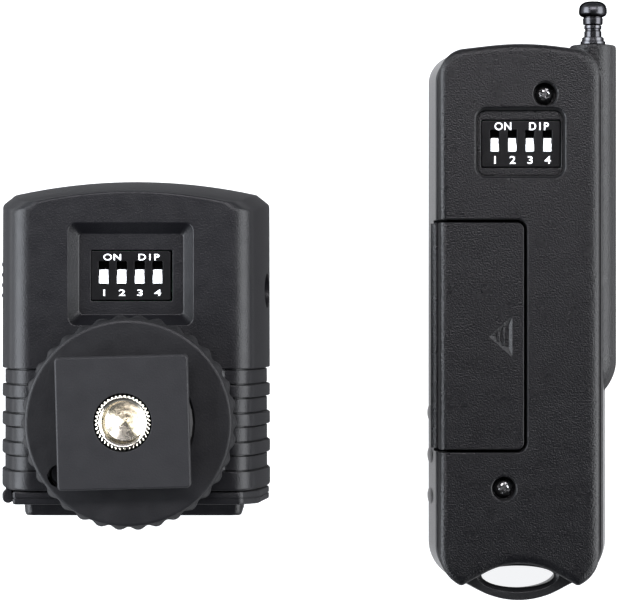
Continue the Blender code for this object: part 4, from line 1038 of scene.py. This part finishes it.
def antenna():
    lip = 0.12
    end = 45.6
    antenna_piece("antenna_base", "transmitter", tube([
        (1.33, 0.0), (1.65, 0.0), (1.65, end - 1.2), (1.5, end - 1.0), (1.5, end - 0.7), (1.62, end - 0.6),
        (1.62, end - lip), (1.5, end), (1.36, end), (1.33, end - lip)]), -6.9, "antenna_base_tube")
    antenna_piece("antenna_collar", "transmitter", tube([
        (1.68, 0.0), (1.76, 0.0), (1.83, 0.1), (1.83, 0.4), (1.76, 0.5), (1.69, 0.5)]),
                  SLEEVE_TOP + 0.1, "antenna_ferrule")
    end = 46.1
    antenna_piece("antenna_tube_1", "antenna_1", tube([
        (0.95, 0.0), (1.3, 0.0), (1.3, 1.6), (1.28, 1.7), (1.28, end - 1.0), (1.16, end - 0.85),
        (1.16, end - 0.6), (1.28, end - 0.5), (1.28, end - lip), (1.1, end), (0.97, end)]),
                  -5.6, "antenna_section_1")
    end = 45.6
    antenna_piece("antenna_tube_2", "antenna_2", tube([
        (0.62, 0.0), (0.92, 0.0), (0.92, 1.4), (0.87, 1.5), (0.87, end - 0.9), (0.78, end - 0.75),
        (0.78, end - 0.5), (0.85, end - 0.4), (0.85, end - lip), (0.78, end), (0.64, end)]),
                  -5.2, "antenna_section_2")
    antenna_piece("antenna_knob", "antenna_3", turned([
        (0.0, 0.0), (0.6, 0.0), (0.6, 1.4), (0.54, 1.5), (0.54, 45.45), (1.36, 45.5), (1.44, 45.58),
        (1.46, 45.75), (1.48, 46.2), (1.48, 46.42), (1.36, 46.5), (1.36, 46.58), (1.56, 46.66),
        (1.82, 46.78), (1.99, 46.98), (2.07, 47.25), (2.07, 47.6), (2.02, 47.95), (1.92, 48.25),
        (1.72, 48.52), (1.44, 48.73), (1.05, 48.88), (0.5, 48.94), (0.0, TIP_LENGTH)], 40),
                  44.0 - TIP_LENGTH, "antenna_tip")


def trigger_button():
    r = BUTTON_RADIUS
    profile = [(0.0, 0.45), (2.2, 0.42), (3.2, 0.36), (r - 0.55, 0.3), (r - 0.2, 0.38), (r - 0.04, 0.62),
               (r, 0.9), (r, 1.5), (r + 0.8, 1.52), (r + 0.8, 2.1), (1.6, 2.1), (1.6, 4.2), (1.5, 4.3),
               (0.0, 4.3)]
    button = turned(profile, 64).moved(Matrix.Translation((*BUTTON, 0.0)))
    button.finish("front_button", "button", "satin", "black_satin_plastic", ["trigger_button"])


# ---- kept CAD nodes

KEPT = {
    "steel": ("door_hinge_pin", "receiver_battery_spring", "receiver_battery_contact", "power_switch_body",
              "saw_resonator", "transmitter_battery_spring", "transmitter_battery_contact",
              "foot_screw_1", "foot_screw_2", "foot_screw_3", "foot_screw_4"),
    "rubber": ("lock_washer",),
    "board": ("receiver_circuit_board", "transmitter_circuit_board"),
    "chip": ("receiver_radio_chip", "transmitter_radio_chip", "trigger_tact_switch"),
    "copper": ("receiver_coil_antenna",),
    "lens": ("receiver_status_led", "transmitter_led"),
    "wrap": ("receiver_battery", "transmitter_battery"),
}


def dress_kept_nodes():
    for look, names in KEPT.items():
        for name in names:
            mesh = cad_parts[name].data
            mesh.materials.clear()
            mesh.materials.append(LOOKS[look])
            mesh.shade_smooth()
            mesh.set_sharp_from_angle(angle=radians(35))


# ---- stage, light and camera

def area_light(name, place, aim_x, size, power, colour):
    """A rectangular light aimed at the point (aim_x, 0) of the floor."""
    light = bpy.data.lights.new(name, "AREA")
    light.shape = "RECTANGLE"
    light.size, light.size_y = size
    light.energy = power
    light.color = colour
    item = add_object(name, light)
    item.location = place
    item.rotation_euler = (Vector((aim_x, 0.0, 0.0)) - Vector(place)).to_track_quat("-Z", "Y").to_euler()


def set_stage():
    bm = bmesh.new()
    bmesh.ops.create_grid(bm, x_segments=2, y_segments=2, size=2.0)
    mesh = bpy.data.meshes.new("floor")
    bm.to_mesh(mesh)
    bm.free()
    mesh.materials.append(LOOKS["paper"])
    floor = add_object("floor", mesh)
    floor.location = (0.0, 0.0, -0.0002)
    world = bpy.data.worlds.new("studio")
    world.use_nodes = True
    sky = world.node_tree
    background = sky.nodes["Background"]
    background.inputs["Color"].default_value = (0.92, 0.94, 1.0, 1.0)
    direction = add_node(sky, "ShaderNodeTexCoord")
    parts = add_node(sky, "ShaderNodeSeparateXYZ")
    sky.links.new(direction.outputs["Generated"], parts.inputs["Vector"])
    sky.links.new(ranged(sky, parts.outputs["Z"], 0.95, 0.11, 0.09, 0.14), background.inputs["Strength"])
    scene = bpy.context.scene
    scene.world = world
    scene.view_settings.view_transform = "Standard"
    area_light("softbox_left", (-0.6, 0.0, 0.34), 0.0, (0.9, 0.55), 29.0, (0.9, 0.94, 1.0))
    area_light("softbox_right", (0.6, 0.0, 0.34), 0.0, (0.9, 0.55), 22.0, (0.95, 0.97, 1.0))
    area_light("softbox_back", (0.0, 0.52, 0.3), 0.0, (0.9, 0.2), 0.8, (0.97, 0.95, 1.0))
    area_light("softbox_top", (0.03, 0.26, 0.54), 0.03, (0.5, 0.12), 4.4, (0.98, 0.95, 1.0))


def set_camera():
    """Straight above the pair, far enough back for mild perspective."""
    lens_data = bpy.data.cameras.new("camera")
    lens_data.sensor_width = 36.0
    lens_data.lens = 176.2
    lens_data.clip_start = 0.01
    camera = add_object("camera", lens_data)
    camera.location = (-0.0003, 0.0, 0.45)
    bpy.context.scene.camera = camera


# ---- the pair

receiver_back_shell()
receiver_front_shell()
receiver_battery_door()
shoe_foot()
lock_ring()
tripod_insert()
switch_block("receiver", RX_DIP, RX_DIP_WIDTH, top=22.1, bottom=16.9, slider=(1.32, 2.0), rise=0.15,
             letters=0.88, widen=1.28)
sync_socket()
power_knob()
case_screws("receiver", RX_SCREWS, head_z=1.2, tip_z=15.6, radius=1.6, shank=0.8, height=1.2)
transmitter_front_shell()
antenna_sleeve()
transmitter_back_shell()
battery_cover()
switch_block("transmitter", TX_DIP, TX_DIP_WIDTH, top=13.8, bottom=9.7, slider=(1.17, 1.95), rise=0.1,
             letters=1.1, widen=0.98)
case_screws("transmitter", TX_SCREWS, head_z=13.9, tip_z=2.2, radius=1.3, shank=0.65, height=1.2)
antenna()
trigger_button()
dress_kept_nodes()
set_stage()
set_camera()
